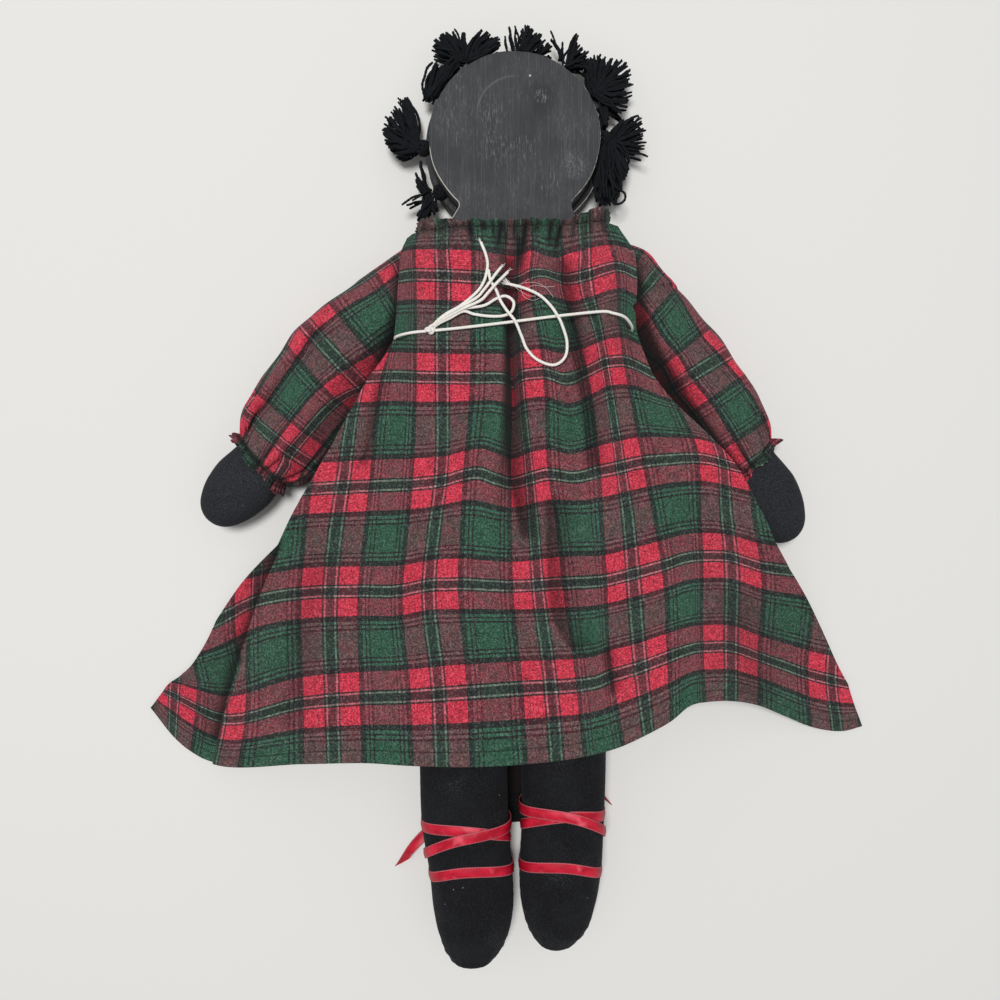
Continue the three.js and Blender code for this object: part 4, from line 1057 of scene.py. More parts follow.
for name, side in SIDES.items():
    toe = LEG_ROWS[name][-1][0]
    roots = []
    for share in (0.985, 0.85, 0.6, 0.3, 0.0):
        width = math.sqrt(1 - share ** 2)
        roots.append((HIP_Y + LEG_BALL * share, HIP_X, LEG_BALL * width,
                      HIP_Z - LEG_BALL_TALL * width, HIP_Z + LEG_BALL_TALL * width))

    def leg_place(sizes, across, up):
        y, centre, half, low, high = (sizes[:, k:k + 1] for k in range(5))
        angle = np.arctan2(up, across)
        near_toe = smooth((toe + 26 - y) / 22) * smooth((y - toe) / 6)
        pleat = 1 + 0.03 * near_toe * np.sin(17 * angle + side) * np.abs(np.sin(5 * angle))
        pleat += 0.02 * near_toe * np.sin(1.15 * y + 5 * np.cos(angle)) * np.abs(np.cos(angle))
        return np.stack([side * centre + half * across * pleat, y + 0 * across,
                         (low + high) / 2 + (high - low) / 2 * up * pleat], -1)

    rings = stuffed(roots + LEG_ROWS[name], leg_place, LEG_FULLNESS)
    add_stuffed(f"{name}_leg_stuffed", rings, f"{name}_leg", f"{name}_leg")

# %% [markdown]
# A narrow satin ribbon winds three times round each leg and crosses at the back. Its woven edges are paler
# and matt. Its flat places run along it and across it. The bands where it gleams, facing up, and where it
# darkens, turning away, are painted into its colour by its slope.

# %% Satin finish
def red_satin():
    finish = Finish("red_satin", Roughness=0.36, Specular_IOR_Level=0.3)
    flat = finish.map("run")
    along = finish.part(flat, 0)
    across = finish.part(flat, 1)
    edge = (across - 0.5).size()
    thread = finish.noise(flat, (0.9, 26, 1), 2)
    glint = finish.noise(flat, (0.085, 1.1, 1), 2)
    weave = (along * 1.25).fraction()
    # Painted sheen: the colour runs paler and darker along the ribbon, as satin catches light.
    colour = finish.blend(glint.between(0.42, 0.66), srgb("b30f2a"), srgb("e0213f"))
    colour = finish.blend(thread.between(0.35, 0.7) * 0.35, colour, srgb("970b20"))
    # Painted shade where the ribbon turns away from above, painted highlights in patches where it faces up.
    facing = finish.part(finish.node("ShaderNodeNewGeometry", None, None, 1), 2)
    colour = finish.blend(facing.between(0.75, 0.3) * 0.65, colour, srgb("7a0818"))
    gloss = finish.noise(flat, (0.075, 0.45, 1), 2).between(0.5, 0.64)
    colour = finish.blend(facing.between(0.84, 0.98) * gloss * 0.85, colour, srgb("ff6a7e"))
    selvedge = edge.between(0.4, 0.43)
    stitched = selvedge * (weave < 0.55)
    colour = finish.blend(selvedge * 0.6, colour, srgb("9c1f30"))
    colour = finish.blend(stitched * 0.75, colour, srgb("dc8c96"))
    finish.feed(Base_Color=colour, Roughness=0.36 + 0.4 * selvedge + 0.1 * thread)
    finish.bump(thread + selvedge * weave, 0.08, 0.6)
    return finish.material


SATIN = red_satin()

# %% [markdown]
# The ribbon's centre line runs round the leg's skin, a little off it, and a little more where it crosses
# itself. In front it is tied: a small ring for the knot and two tails, cut aslant, that lie on the table.

# %% Ribbons
RIBBON_WIDTH = 5.7
RIBBON_THICK = 0.35
RIBBON_OVER = 0.85
RIBBON_TURNS = 3
SLANT_REACH = 16.0
KNOT_NARROWING = 0.55
TAIL_SLANT = 1.9
# The ribbon's y at the front, left, back and right of the leg in turn.
RIBBON_ROUTES = {
    "left": [-171, -175.5, -173.6, -183, -194, -203.6, -195.6, -199.6, -198, -193, -177.5, -175, -171],
    "right": [-163, -166, -165.6, -181, -190, -197, -193.2, -201, -188, -176.5, -166, -170, -163],
}
TAIL_ENDS = {"left": [(-66, -210), (-30, -196)], "right": [(57.5, -173), (14, -178)]}


def ribbon_strip(name, centre, across_way, lift, slant=0.0):
    """A ribbon from centre points, a direction across it and one off it; its last end may be cut aslant."""
    shares = np.linspace(-0.5, 0.5, 9)
    far = run_lengths(centre)
    curl = 0.18 * np.cos(2 * np.pi * shares)[None, :, None]
    points = centre[:, None] + across_way[:, None] * (shares * RIBBON_WIDTH)[None, :, None]
    points = points + lift[:, None] * curl
    if slant:
        ahead = unit(np.gradient(centre, axis=0))
        near_end = smooth((far - far[-1] + SLANT_REACH) / SLANT_REACH)
        short = near_end[:, None] * (shares + 0.5) * slant * RIBBON_WIDTH
        points = points - ahead[:, None] * short[..., None]
    flat = np.stack(np.meshgrid(far, shares + 0.5, indexing="ij"), -1)
    piece = add_grid(name, points, SATIN, {"run": flat})
    thicken(piece, RIBBON_THICK)
    return piece


for name, side in SIDES.items():
    route = RIBBON_ROUTES[name]
    quarter = np.linspace(0, 4 * RIBBON_TURNS, 320)
    y = hermite(quarter, np.arange(len(route)), route)
    angle = -np.pi / 2 - np.pi / 2 * quarter
    late = smooth(quarter - 6.6) * smooth(4 * RIBBON_TURNS - quarter)
    early = smooth(quarter) * smooth(5 - quarter)
    over = RIBBON_OVER * (late if side < 0 else early)
    centre = leg_skin(name, y, angle, 0.4 + over)
    top = leg_skin(name, y + 1, angle, 0.4 + over)
    outer = leg_skin(name, y, angle, 1.4 + over)
    ribbon = ribbon_strip(f"{name}_ribbon_wound", centre, unit(top - centre), unit(outer - centre))
    settle(ribbon, f"{name}_leg", "satin_ribbon", f"{name}_ribbon")

    knot_y = route[0]
    knot_at = np.array((side * float(table(LEG_ROWS[name], knot_y, 1)), knot_y, 1.15))
    tails = []
    for k, end in enumerate(TAIL_ENDS[name]):
        end = np.array((*end, 1.4 if k == 0 else 0.9))
        middle = mix(knot_at, end, 0.68) + (0, 4.0 if k == 0 else 0, 0.2)
        centre, far = even_route([knot_at, middle, end], 1.0)
        ahead = np.gradient(centre, axis=0)
        flat_way = unit(np.stack([-ahead[:, 1], ahead[:, 0], 0 * ahead[:, 0]], -1))
        lean = 1.0 * smooth(far / far[-1] * 1.5 - 0.5) if k == 0 else 0 * far
        way = flat_way * np.cos(lean)[:, None] + np.array((0, 0, 1)) * np.sin(lean)[:, None]
        rise = np.array((0, 0, 1)) * (np.sin(lean) * RIBBON_WIDTH / 2)[:, None]
        tails.append(ribbon_strip(f"{name}_ribbon_tail_{k + 1}", centre + rise, way,
                                  np.zeros_like(way) + (0, 0, 1), TAIL_SLANT))
    bow = [(math.cos(a) * 3.4, math.sin(a) * 2.6, 0.25 * math.sin(3 * a)) for a in np.linspace(0, 5.6, 9)]
    centre, far = even_route(np.array(bow) + knot_at + (0, 0, 0.55), 0.6)
    up_way = np.zeros_like(centre) + (0, 0, 1)
    sideways = unit(np.cross(np.gradient(centre, axis=0), up_way))
    tied = ribbon_strip(f"{name}_ribbon_knot", centre, sideways * KNOT_NARROWING, up_way)
    for piece in (*tails, tied):
        settle(piece, f"{name}_leg", "satin_ribbon")
    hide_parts(f"{name}_ribbon_tie")

# %% [markdown]
# The dress is brushed cotton flannel in a red and green tartan. Warp and weft have the same order of stripes,
# and where they cross the threads mix, with the weft a little stronger. The stripes come from each piece's
# flat cut, so they follow every fold, and the nap scatters the two sets of threads into a soft speckle. Deep
# in a fold little light comes in: the mesh marks those places and the finish darkens them.

# %% Tartan finish
REPEAT = 56.0
# Mixed threads look darker than their average, so colours are mixed as roots and raised again.
MIX_POWER = 4.0


def thread(code):
    return (*[c ** (1 / MIX_POWER) for c in srgb(code)[:3]], 1.0)


RED, GREEN, BLACK = thread("bf2840"), thread("1d4c38"), thread("050608")
DEEP, PALE, LIGHT = thread("0b1311"), thread("a38c86"), thread("2f5a48")
# One repeat of stripes: widths in millimetres and their yarn.
SETT = [(9.5, RED), (0.8, BLACK), (1.0, PALE), (3.8, DEEP), (1.0, PALE), (0.8, BLACK), (9.5, RED),
        (2.9, BLACK), (1.4, LIGHT), (1.0, BLACK), (1.3, LIGHT), (1.0, BLACK), (14.4, GREEN),
        (1.0, BLACK), (1.3, LIGHT), (1.0, BLACK), (1.4, LIGHT), (2.9, BLACK)]
print("sett repeats every", round(sum(width for width, _ in SETT), 2), "mm")


def tartan():
    finish = Finish("tartan_flannel", Roughness=0.95, Specular_IOR_Level=0.3, Sheen_Weight=0.04,
                    Sheen_Roughness=0.6)
    flat = finish.map("cut")
    starts = np.cumsum([0, *[width for width, _ in SETT]])[:-1] / REPEAT
    stops = [(float(at), colour) for at, (_, colour) in zip(starts, SETT)]
    wander = finish.noise(flat, (0.16, 0.16, 1), 2) - 0.5

    def stripes(axis):
        run = (finish.part(flat, axis) + wander * 0.35) * (1 / REPEAT)
        return finish.node("ShaderNodeValToRGB", {"stops": stops}, {0: run.fraction()})

    warp, weft = stripes(0), stripes(1)
    warp_slub = finish.noise(flat, (1.5, 0.16, 1), 2)
    weft_slub = finish.noise(flat, (0.16, 1.5, 1), 2)
    nap = finish.noise(flat, (0.9, 0.9, 1), 3)
    fibre = finish.noise(flat, (1.2, 1.2, 1), 1)

    def threads(fineness):
        """One chance value for each little square of crossing threads."""
        square = finish.node("ShaderNodeVectorMath", {"operation": "FLOOR"}, {
            0: finish.stretch(flat, (fineness, fineness, 1))})
        return finish.node("ShaderNodeTexWhiteNoise", {"noise_dimensions": "2D"}, {"Vector": square})

    coarse, fine = threads(1.6), threads(2.6)
    patchy = finish.noise(flat, (0.14, 0.14, 1), 2)
    share = 0.57 + (weft_slub - warp_slub) * 0.3 + (fibre - 0.5) * 0.25 + (patchy - 0.5) * 0.3
    mixed = finish.blend(share.between(0.0, 1.0), warp, weft)
    colour = finish.node("ShaderNodeGamma", None, {"Color": mixed, "Gamma": MIX_POWER})
    light = 0.02 + coarse * 0.9 + fine * 0.5 + (warp_slub + weft_slub - 1) * 1.1
    light = light + fibre.between(0.3, 0.7) * 0.6
    colour = finish.scaled(colour, light)
    worn = finish.noise(flat, (0.03, 0.03, 1), 3)
    fuzz = 0.02 + nap.between(0.45, 0.75) * 0.035 + worn.between(0.45, 0.75) * 0.015
    fuzz = fuzz + coarse.between(0.78, 0.88) * 0.1
    colour = finish.blend(fuzz, colour, srgb("b3aeac"))
    # Painted shade: the colour is darkened as far as the mesh's mark says.
    colour = finish.scaled(colour, 1 - finish.marked("crease"))
    hem = finish.part(finish.map("hem"), 1)
    run = finish.part(finish.map("hem"), 0)
    stitch = (hem > 6.0) * (hem < 6.7) * ((run * 0.42).fraction() < 0.86)
    colour = finish.blend(stitch * 0.6, colour, srgb("0f1113"))
    finish.feed(Base_Color=colour)
    turned_up = hem.between(6.6, 6.0) * 0.9 - stitch * 0.8
    finish.bump(fibre * 0.5 + nap * 0.5 + turned_up, 0.35, 0.55)
    return finish.material


TARTAN = tartan()
FLANNEL = 0.6
NO_HEM = 99.0

# %% [markdown]
# The back panel is gathered at the neck and spreads to the hem. Its weft lines were read off the photograph:
# each row below gives, for one distance down the cut, where a few warp lines pass. Between them the cloth is
# a smooth surface, so a point of the flat cut lands under the pixel where its stripe is seen, at the height
# that the body and the folds give it.

# %% Back panel: where the stripes lie
WEFT_LINES = {
    -25: [
        (-24, 407, 237), (0, 419, 231), (26.5, 469, 226), (43, 495, 226), (58, 508, 226), (72, 521, 226),
        (82.5, 531, 225), (112, 562, 225), (138.5, 604, 221), (152, 618, 225),
    ],
    -13.2: [
        (-25, 401, 253), (0, 416, 250), (13, 441, 250), (26.5, 471, 251), (43, 496, 254), (58, 508, 256),
        (72.6, 521, 256), (82.5, 531, 251), (97, 548, 257), (106, 558, 258), (114, 567, 255),
        (125, 584, 250), (138.5, 609, 245.5), (156, 634, 251),
    ],
    0: [
        (-24, 399, 277), (0, 417, 275), (26.5, 471, 277), (43, 496, 279), (58, 508, 283), (72.6, 520, 280),
        (82.5, 529, 275), (97, 545, 273), (106, 557, 277), (114, 566, 279), (125, 584, 276),
        (138.5, 614, 267), (156, 637, 274),
    ],
    36: [
        (-27, 393, 341), (0, 417, 341), (26.5, 470, 342), (43, 502, 342), (58, 511, 346), (72.6, 522, 340),
        (82.5, 538, 337), (97, 558, 340), (112, 580, 338), (125, 598, 331), (138.5, 618, 326),
        (155, 637, 333),
    ],
    56: [
        (-38, 369, 377), (-20, 394, 376), (0, 417, 377), (26.5, 470, 378), (43, 502, 378), (58, 513, 383),
        (72.6, 524, 375), (82.5, 543, 373), (97, 566, 379), (112, 588, 371), (125, 604, 363),
        (138.5, 623, 361), (158, 652, 373),
    ],
    112: [
        (-59, 306, 489), (-29.5, 369, 486), (-14, 392, 485), (0, 413, 484), (16, 446, 480),
        (26.5, 463, 475), (35, 479, 473), (45, 496, 479), (56, 511, 483), (70, 531, 478), (82.5, 548, 474),
        (97, 574, 477), (112, 601, 471), (125, 620, 467), (138.5, 642, 462), (154, 671, 459),
        (168, 699, 458), (190, 738, 467),
    ],
    140: [
        (-70, 280, 545), (-56, 306, 541), (-29.5, 363, 539), (0, 408, 537), (26.5, 460, 530),
        (56, 512, 535), (82.5, 556, 528), (112, 604, 526), (138.5, 652, 514), (168, 701, 507),
        (202, 766, 519),
    ],
    168: [
        (-102, 221, 618), (-80, 256, 601), (-56, 302, 593), (-29.5, 358, 591), (0, 403, 590),
        (13, 428, 585), (26.5, 458, 584), (56, 513, 586), (82.5, 562, 583), (97, 587, 582), (112, 607, 580),
        (125, 632, 574), (138.5, 661, 566), (154, 685, 558), (168, 703, 556), (181, 730, 557),
        (194.5, 760, 566), (214, 797, 571),
    ],
    224: [
        (-131, 168, 693), (-98, 222, 719), (-56, 304, 703), (-29.5, 360, 698), (0, 411, 696),
        (26.5, 467, 692), (56, 523, 688), (82.5, 576, 685), (97, 596, 682), (112, 613, 675),
        (125, 640, 667), (138.5, 667, 657), (154, 690, 649), (168, 703, 647), (181, 730, 647),
        (194.5, 757, 656), (210, 785, 666), (224, 808, 674), (248, 850, 684),
    ],
    256: [
        (-142, 153, 712), (-124, 176, 741), (-98, 213, 764), (-56, 305, 764), (-29.5, 362, 763),
        (0, 414, 766), (26.5, 470, 767), (56, 528, 764), (82.5, 583, 757), (97, 604, 752), (112, 625, 745),
        (125, 648, 734), (138.5, 670, 722), (154, 690, 706), (168, 706, 702), (181, 730, 701),
        (194.5, 757, 705), (210, 787, 717), (224, 812, 727), (240, 842, 731), (253, 862, 726),
    ],
}
NECK_V, HEM_V = min(WEFT_LINES), max(WEFT_LINES)


def along_weft(line, warp, column):
    """A weft line's pixel column or row at a warp place, straight on past its ends."""
    line = np.array(line, float)
    u, p = line[:, 0], line[:, column]
    inside = hermite(np.clip(warp, u[0], u[-1]), u, p)
    before = p[0] + (warp - u[0]) * (p[1] - p[0]) / (u[1] - u[0])
    after = p[-1] + (warp - u[-1]) * (p[-1] - p[-2]) / (u[-1] - u[-2])
    return np.where(warp < u[0], before, np.where(warp > u[-1], after, inside))


def cloth_pixels(warp, weft):
    """The pixel over each point of the flat cut, smooth from weft line to weft line."""
    lines = sorted(WEFT_LINES)
    v = np.array(lines, float)
    k = np.clip(np.searchsorted(v, weft, side="right") - 1, 0, len(v) - 2)
    gap = v[k + 1] - v[k]
    t = (weft - v[k]) / gap
    found = []
    for column in (1, 2):
        p = np.stack([along_weft(WEFT_LINES[line], warp, column) for line in lines])
        slope = np.gradient(p, v, axis=0)
        pick = [np.take_along_axis(a, k[None] + n, 0)[0] for n in (0, 1) for a in (p, slope)]
        found.append((2 * t ** 3 - 3 * t ** 2 + 1) * pick[0] + (t ** 3 - 2 * t ** 2 + t) * gap * pick[1]
                     + (3 * t ** 2 - 2 * t ** 3) * pick[2] + (t ** 3 - t ** 2) * gap * pick[3])
    return found


# Between the hip and the hem the left edge bulges past a straight cut.
LEFT_BULGE = [
    (120, 0), (140, 1.5), (154, 2.5), (168, 4), (182, 7), (196, 8.7), (210, 7), (224, 3), (256, 2.5),
]
LEFT_CUT = [(v, table([(at, line[0][0]) for at, line in WEFT_LINES.items()], v) - table(LEFT_BULGE, v))
            for v in sorted({*WEFT_LINES, *[v for v, _ in LEFT_BULGE]})]
RIGHT_DIP = [
    (140, 0), (152, 2.6), (165, 3.4), (178, 3.9), (192, 3.4), (205, 2.2), (218, 1.6), (232, 0.8), (256, 0),
]
RIGHT_CUT = [(v, table([(at, line[-1][0]) for at, line in WEFT_LINES.items()], v) - table(RIGHT_DIP, v))
             for v in sorted({*WEFT_LINES, *[v for v, _ in RIGHT_DIP]})]

# %% [markdown]
# The cloth lies on the torso and the legs and falls to the table at both sides. Heights of the middle and of
# the two edges are given down the doll; between them it drops in a soft curve. Folds are then pressed into
# it: two deep ones that the gathers make below the neck, lesser ones beside them, and slow waves at the hem.

# %% Back panel: heights and folds
RIDGE = [
    (152, 29), (145, 31), (136, 37), (128, 41), (116, 44.4), (102, 46), (62, 46.3), (34, 45.8), (6, 44),
    (-60, 41.6), (-150, 40.4),
]
TOP_HALF = [(152, 16), (145, 24), (120, 42), (87, 50), (40, 48), (-10, 58), (-60, 70), (-150, 66)]
LEFT_EDGE_Z = [
    (152, 24), (131, 31), (87, 33), (80, 36), (60, 38.4), (38, 38.4), (18, 35.5), (-2, 30), (-24, 20),
    (-44, 10), (-66, 5), (-90, 2.6), (-150, 2.3),
]
RIGHT_EDGE_Z = [
    (152, 24), (131, 31), (87, 33), (80, 36), (60, 38.4), (39, 38.4), (22, 37), (0, 33.5), (-18, 30.5),
    (-42, 17), (-64, 7), (-87, 2.6), (-150, 2.3),
]


def valley(u, v, centre, half, strength):
    """A fold pressed in along a warp line, with its strength given down the cut."""
    return table(strength, v) * np.exp(-((u - table(centre, v)) / half) ** 2)


def back_folds(u, v):
    """How far the back panel is pressed in (below nought) or lifted."""
    low = NECK_V
    wall = smooth((u - table([(low, 43), (60, 42.5), (120, 43), (256, 50)], v)) / 13)
    rise = smooth((u - 57) / table([(low, 14), (60, 17), (256, 26)], v))
    press = table([(low, 3), (-8, 8), (20, 12), (80, 12), (115, 7), (150, 2.6), (256, 0.8)], v)
    press = press * wall * (1 - rise)
    press += valley(u, v, [(low, 107), (20, 107), (70, 101), (130, 97)], 6.5,
                    [(low, 2.2), (0, 5), (40, 4.2), (80, 2.6), (140, 0.8), (256, 0.4)])
    press += valley(u, v, [(20, 124), (110, 121)], 4.5, [(0, 0), (28, 1.6), (60, 3), (100, 2), (140, 0)])
    press += valley(u, v, [(30, -13), (110, -16)], 5, [(25, 0), (50, 3), (90, 2.6), (140, 0)])
    press += valley(u, v, [(36, 146), (120, 168)], 6, [(30, 0.5), (60, 3), (100, 2.4), (150, 0)])
    press += valley(u, v, [(100, 22), (256, 8)], 9, [(90, 0), (140, 0.9), (200, 0.7), (256, 0.3)])
    press += valley(u, v, [(130, 108), (256, 102)], 11, [(110, 0), (180, 1.0), (256, 1.4)])
    slow = 0.5 - 0.5 * np.cos(2 * np.pi * (u - 36) / 61)
    press += 1.2 * smooth((v - 60) / 150) * slow
    ripple = np.sin(0.19 * u + 0.05 * v) * np.sin(0.083 * v - 0.06 * u + 1)
    ripple = ripple + 0.6 * np.sin(0.31 * u - 0.11 * v)
    lift = 0.45 * smooth((v - 10) / 60) * ripple
    crest = smooth((u - 126) / 34) * smooth((222 - u) / 34)
    lift += 10 * crest * smooth((v - 150) / 90)
    lift += 3 * smooth((-20 - u) / 30) * smooth((u + 92) / 30) * smooth((v - 190) / 60)
    return lift - press


# The edge of the pleat at the left of the skirt, as pixels.
PLEAT_PIXELS = [(281, 542), (270, 568), (258, 600), (247, 630), (236, 664), (226, 700), (217, 742)]
# Folds read off the photograph: pixels down the fold's line, how deep it is pressed, how dark the shade
# painted along it is, and how many pixels it reaches to the left and to the right.
FOLDS = [
    (
        [(507, 258), (509, 300), (508, 340), (507, 420), (508, 455), (512, 482), (518, 508), (524, 538)],
        1.5, 0.48, 3.5, 13,
    ),
    ([(549, 500), (549, 545), (551, 592), (554, 614), (562, 632), (574, 650)], 1.4, 0.34, 3, 20),
    (
        [(563, 262), (567, 290), (570, 312), (574, 340), (579, 372), (585, 402), (589, 440), (592, 468)],
        3, 0.4, 5, 11,
    ),
    ([(380, 380), (375, 408), (370, 440), (363, 466)], 3, 0.3, 6, 6),
    ([(605, 648), (609, 668), (611, 692)], 0.8, 0.34, 4, 9),
    ([(516, 236), (518, 252), (520, 270)], 2, 0.4, 4, 5),
    ([(600, 296), (605, 322), (612, 348), (625, 376), (642, 400)], -2, 0, 5, 6),
    ([(319, 556), (300, 640), (291, 726)], 3, 0.14, 13, 16),
    (PLEAT_PIXELS, 0, 0.22, 19, 0.8),
    (PLEAT_PIXELS, 0, 0.5, 6, 0.8),
    ([(735, 590), (745, 640), (756, 700)], 2, 0.12, 18, 24),
]
# Creases of the neck's gathers: pixel columns at their top and foot, the foot's row, strength and half width.
NECK_ROW = 222
NECK_CREASES = [
    (424, 419, 232, 0.5, 2.0), (446, 434, 234, 0.5, 2.0), (456, 452, 236, 0.4, 2.0),
    (463, 466, 230, 0.5, 1.6), (470, 471, 241, 1, 2.2), (484, 484, 230, 0.9, 2.2),
    (493, 494, 243, 0.6, 1.6), (501, 497, 254, 1, 2.2), (506, 506, 247, 0.9, 1.4),
    (515, 514, 238, 0.8, 1.4), (526, 521, 266, 1, 3.0), (539, 533, 235, 0.6, 1.8),
    (551, 548, 249, 0.9, 2.0), (562, 553, 256, 1, 2.2), (575, 571, 245, 0.5, 1.5),
    (590, 592, 236, 0.4, 1.8), (602, 606, 238, 0.4, 2.0),
]
NECK_PRESS = 3.2
# How dark the shade painted into the neck's creases is.
NECK_DARK = 0.82
# The back panel stays this high above the table.
BACK_CLEAR = 1.4


def bell(distance, width):
    return np.exp(-(distance / width) ** 2)


def gather_wave(column):
    """Puffs between the neck's creases, from one on a puff to minus one at the bottom of a fold."""
    pressed = sum(strength * bell(column - top, 1.2 * half) for top, _, _, strength, half in NECK_CREASES)
    return 1 - 2 * np.minimum(pressed, 1.1)


def pressed_folds(column, row):
    """Depth and painted shade of the cloth at a pixel, from its folds and the neck's gathers."""
    deep = np.zeros(column.shape)
    light = np.ones(column.shape)
    for line, depth, dark, left, right in FOLDS:
        x, y = np.array(line, float).T
        gap = column - hermite(np.clip(row, y[0], y[-1]), y, x)
        shape = np.where(gap < 0, bell(gap, left), bell(gap, right))
        shape = shape * smooth((row - y[0] + 8) / 16) * smooth((y[-1] + 8 - row) / 16)
        deep += depth * shape
        light *= 1 - dark * shape
    for top, foot, foot_row, strength, half in NECK_CREASES:
        share = np.clip((row - NECK_ROW) / (foot_row - NECK_ROW), 0, 1)
        shape = strength * bell(column - mix(top, foot, share), half * (1 + 0.5 * share))
        shape = shape * smooth((foot_row + 4 - row) / (0.6 * (foot_row - NECK_ROW) + 4))
        deep += NECK_PRESS * shape
        light *= 1 - NECK_DARK * np.minimum(shape, 1)
    return deep, 1 - light


def back_point(u, v):
    """Points of the back panel over its flat cut, and how dark the shade painted at each is."""
    column, row = cloth_pixels(u, v)
    at_elastic = smooth((NECK_V + 4 - v) / 4)
    row = row + 1.5 * smooth((NECK_V + 9 - v) / 9) * gather_wave(column)
    folded, dark = pressed_folds(column, row)
    # Just under the elastic a shade is painted too, darker in the gathers' creases.
    dark = 1 - (1 - dark) * (1 - at_elastic * (0.15 + 0.2 * (1 - gather_wave(column)) / 2))
    z = np.full(u.shape, 40.0)
    for _ in range(4):
        x, y = under_pixel(column, row, z)
        left = x[:, :1]
        right = x[:, -1:]
        edge = np.where(x < 0, np.abs(left), right)
        edge_z = np.where(x < 0, table(LEFT_EDGE_Z, y), table(RIGHT_EDGE_Z, y))
        half = np.minimum(table(TOP_HALF, y), edge - 6)
        out = np.clip((np.abs(x) - half) / np.maximum(edge - half, 4), 0, 1)
        drop = 0.5 + 0.5 * np.cos(np.pi * out ** 0.85)
        base = mix(edge_z, table(RIDGE, y), drop)
        inside = smooth(1.06 - out) * smooth((edge - np.abs(x)) / 6 + 0.15)
        z = base + (back_folds(u, v) - folded) * inside
        z = np.maximum(z, BACK_CLEAR)
    return np.stack([x, y, z], -1), dark


# %% [markdown]
# One pleat runs down the left of the skirt. One column of the grid follows its edge. The columns left of it
# are the flap, which lies a step lower and shows the stripes that come after the cloth tucked into the pleat.

# %% Back panel: the pleat and the mesh
# Where the weft's repeat starts in the cut.
WEFT_START = REPEAT / 4 - 0.75


def panel_maps(u, v):
    """Flat places for a panel: its cut, and the way along and up from its hem."""
    return {"cut": np.stack([u, v + WEFT_START], -1), "hem": np.stack([u, HEM_V - v], -1)}


COLUMNS, ROWS = 330, 250
# The pleat's edge in the cut, the cloth it takes up down the cut, the edge's width and the flap's drop.
PLEAT_LINE = [(130, -60), (140, -67.5), (154, -74), (168, -79), (196, -89), (224, -98), (256, -98)]
PLEAT_COLUMN = 26
PLEAT_TAKE = [(150, 17), (178, 19), (205, 26), (224, 27)]
PLEAT_EDGE, PLEAT_DROP = 0.35, 2.4
# The column bends over to the pleat's edge between these two places down the cut, and the flap drops between
# the next two.
BEND_FROM, BEND_TO = 70.0, 130.0
DROP_FROM, DROP_TO = 136.0, 150.0
share, down = np.meshgrid(np.linspace(0, 1, COLUMNS), np.linspace(NECK_V, HEM_V, ROWS))
row_down = down[:, :1]
left_u = table(LEFT_CUT, row_down)
right_u = table(RIGHT_CUT, row_down)
even_fold = mix(left_u, right_u, share[:, PLEAT_COLUMN, None])
fold_u = mix(even_fold, table(PLEAT_LINE, row_down), smooth((row_down - BEND_FROM) / (BEND_TO - BEND_FROM)))
flap_share = np.linspace(0, 1, PLEAT_COLUMN)
main_share = np.linspace(0, 1, COLUMNS - PLEAT_COLUMN)
warp = np.hstack([mix(left_u, fold_u - PLEAT_EDGE, flap_share), mix(fold_u, right_u, main_share)])
back_points, back_dark = back_point(warp, down)
lapped = smooth((down - DROP_FROM) / (DROP_TO - DROP_FROM)) * (np.arange(COLUMNS) < PLEAT_COLUMN)
back_points[..., 2] = np.maximum(back_points[..., 2] - PLEAT_DROP * lapped, BACK_CLEAR)
pattern = warp - table(PLEAT_TAKE, down) * lapped
dress_back = add_grid("dress_back_panel", back_points, TARTAN, panel_maps(pattern, down))
crease(dress_back, back_dark)
thicken(dress_back, FLANNEL)
settle(dress_back, "body", "tartan_flannel", "dress_back")
cut_width = max(u for _, u in RIGHT_CUT) - min(u for _, u in LEFT_CUT)

# %% [markdown]
# The front panel is what the doll lies on. It runs flat under the body, turns up beside it and meets the back
# panel along the side seams; towards the hem it spreads flat to the tips.

# %% Front panel
FRONT_COLUMNS = 220
NECK_DIP = 8.0
BODY_HALF = [(150, 44), (128, 51), (86, 54), (34, 53), (-40, 52), (-150, 52)]
FLARE_TOP, FLARE_RUN = 4.0, 62.0
# The front hem hangs lower under the legs and shows between them.
FRONT_SAG = 46.0
# The front's stripes are set off by a little over half a repeat.
FRONT_SHIFT = 32.0
# It stays this far under the back panel.
FRONT_UNDER = 1.5
# It stays this high above the table.
FRONT_CLEAR = 0.4
# How dark the shade painted on it between the legs is.
LEG_SHADE = 0.78


def front_row(left, right):
    """Points across the front from the left seam to the right one, evenly spaced along the cloth."""
    y = (left[1] + right[1]) / 2
    flare = smooth((FLARE_TOP - y) / FLARE_RUN)
    floor_z = mix(0.5, 2.6, smooth((y - 40) / 30))
    halves = []
    for seam in (left, right):
        sign = np.sign(seam[0])
        wall = mix(float(table(BODY_HALF, y)) + 3, abs(seam[0]) - 5, flare)
        wall = min(wall, abs(seam[0]) - 2)
        seam_z = max(seam[2] - 1.3, floor_z)
        corners = [(0, floor_z), (wall * 0.6, floor_z), (wall - 4, floor_z + 0.1),
                   (wall, mix(floor_z, seam_z, 0.45)),
                   (mix(wall, abs(seam[0]), 0.35), mix(floor_z, seam_z, 0.9)), (abs(seam[0]), seam_z)]
        halves.append([(sign * x, z) for x, z in corners])
    line = np.array(halves[0][::-1] + halves[1][1:])
    fine = even_route(np.column_stack([line, 0 * line[:, 0]]), 0.8)[0]
    far = run_lengths(fine)
    at = np.linspace(0, far[-1], FRONT_COLUMNS)
    x = np.interp(at, far, fine[:, 0])
    z = np.interp(at, far, fine[:, 1])
    side = (x - left[0]) / (right[0] - left[0])
    return np.stack([x, mix(left[1], right[1], side), np.maximum(z, FRONT_CLEAR)], -1), at - far[-1] / 2


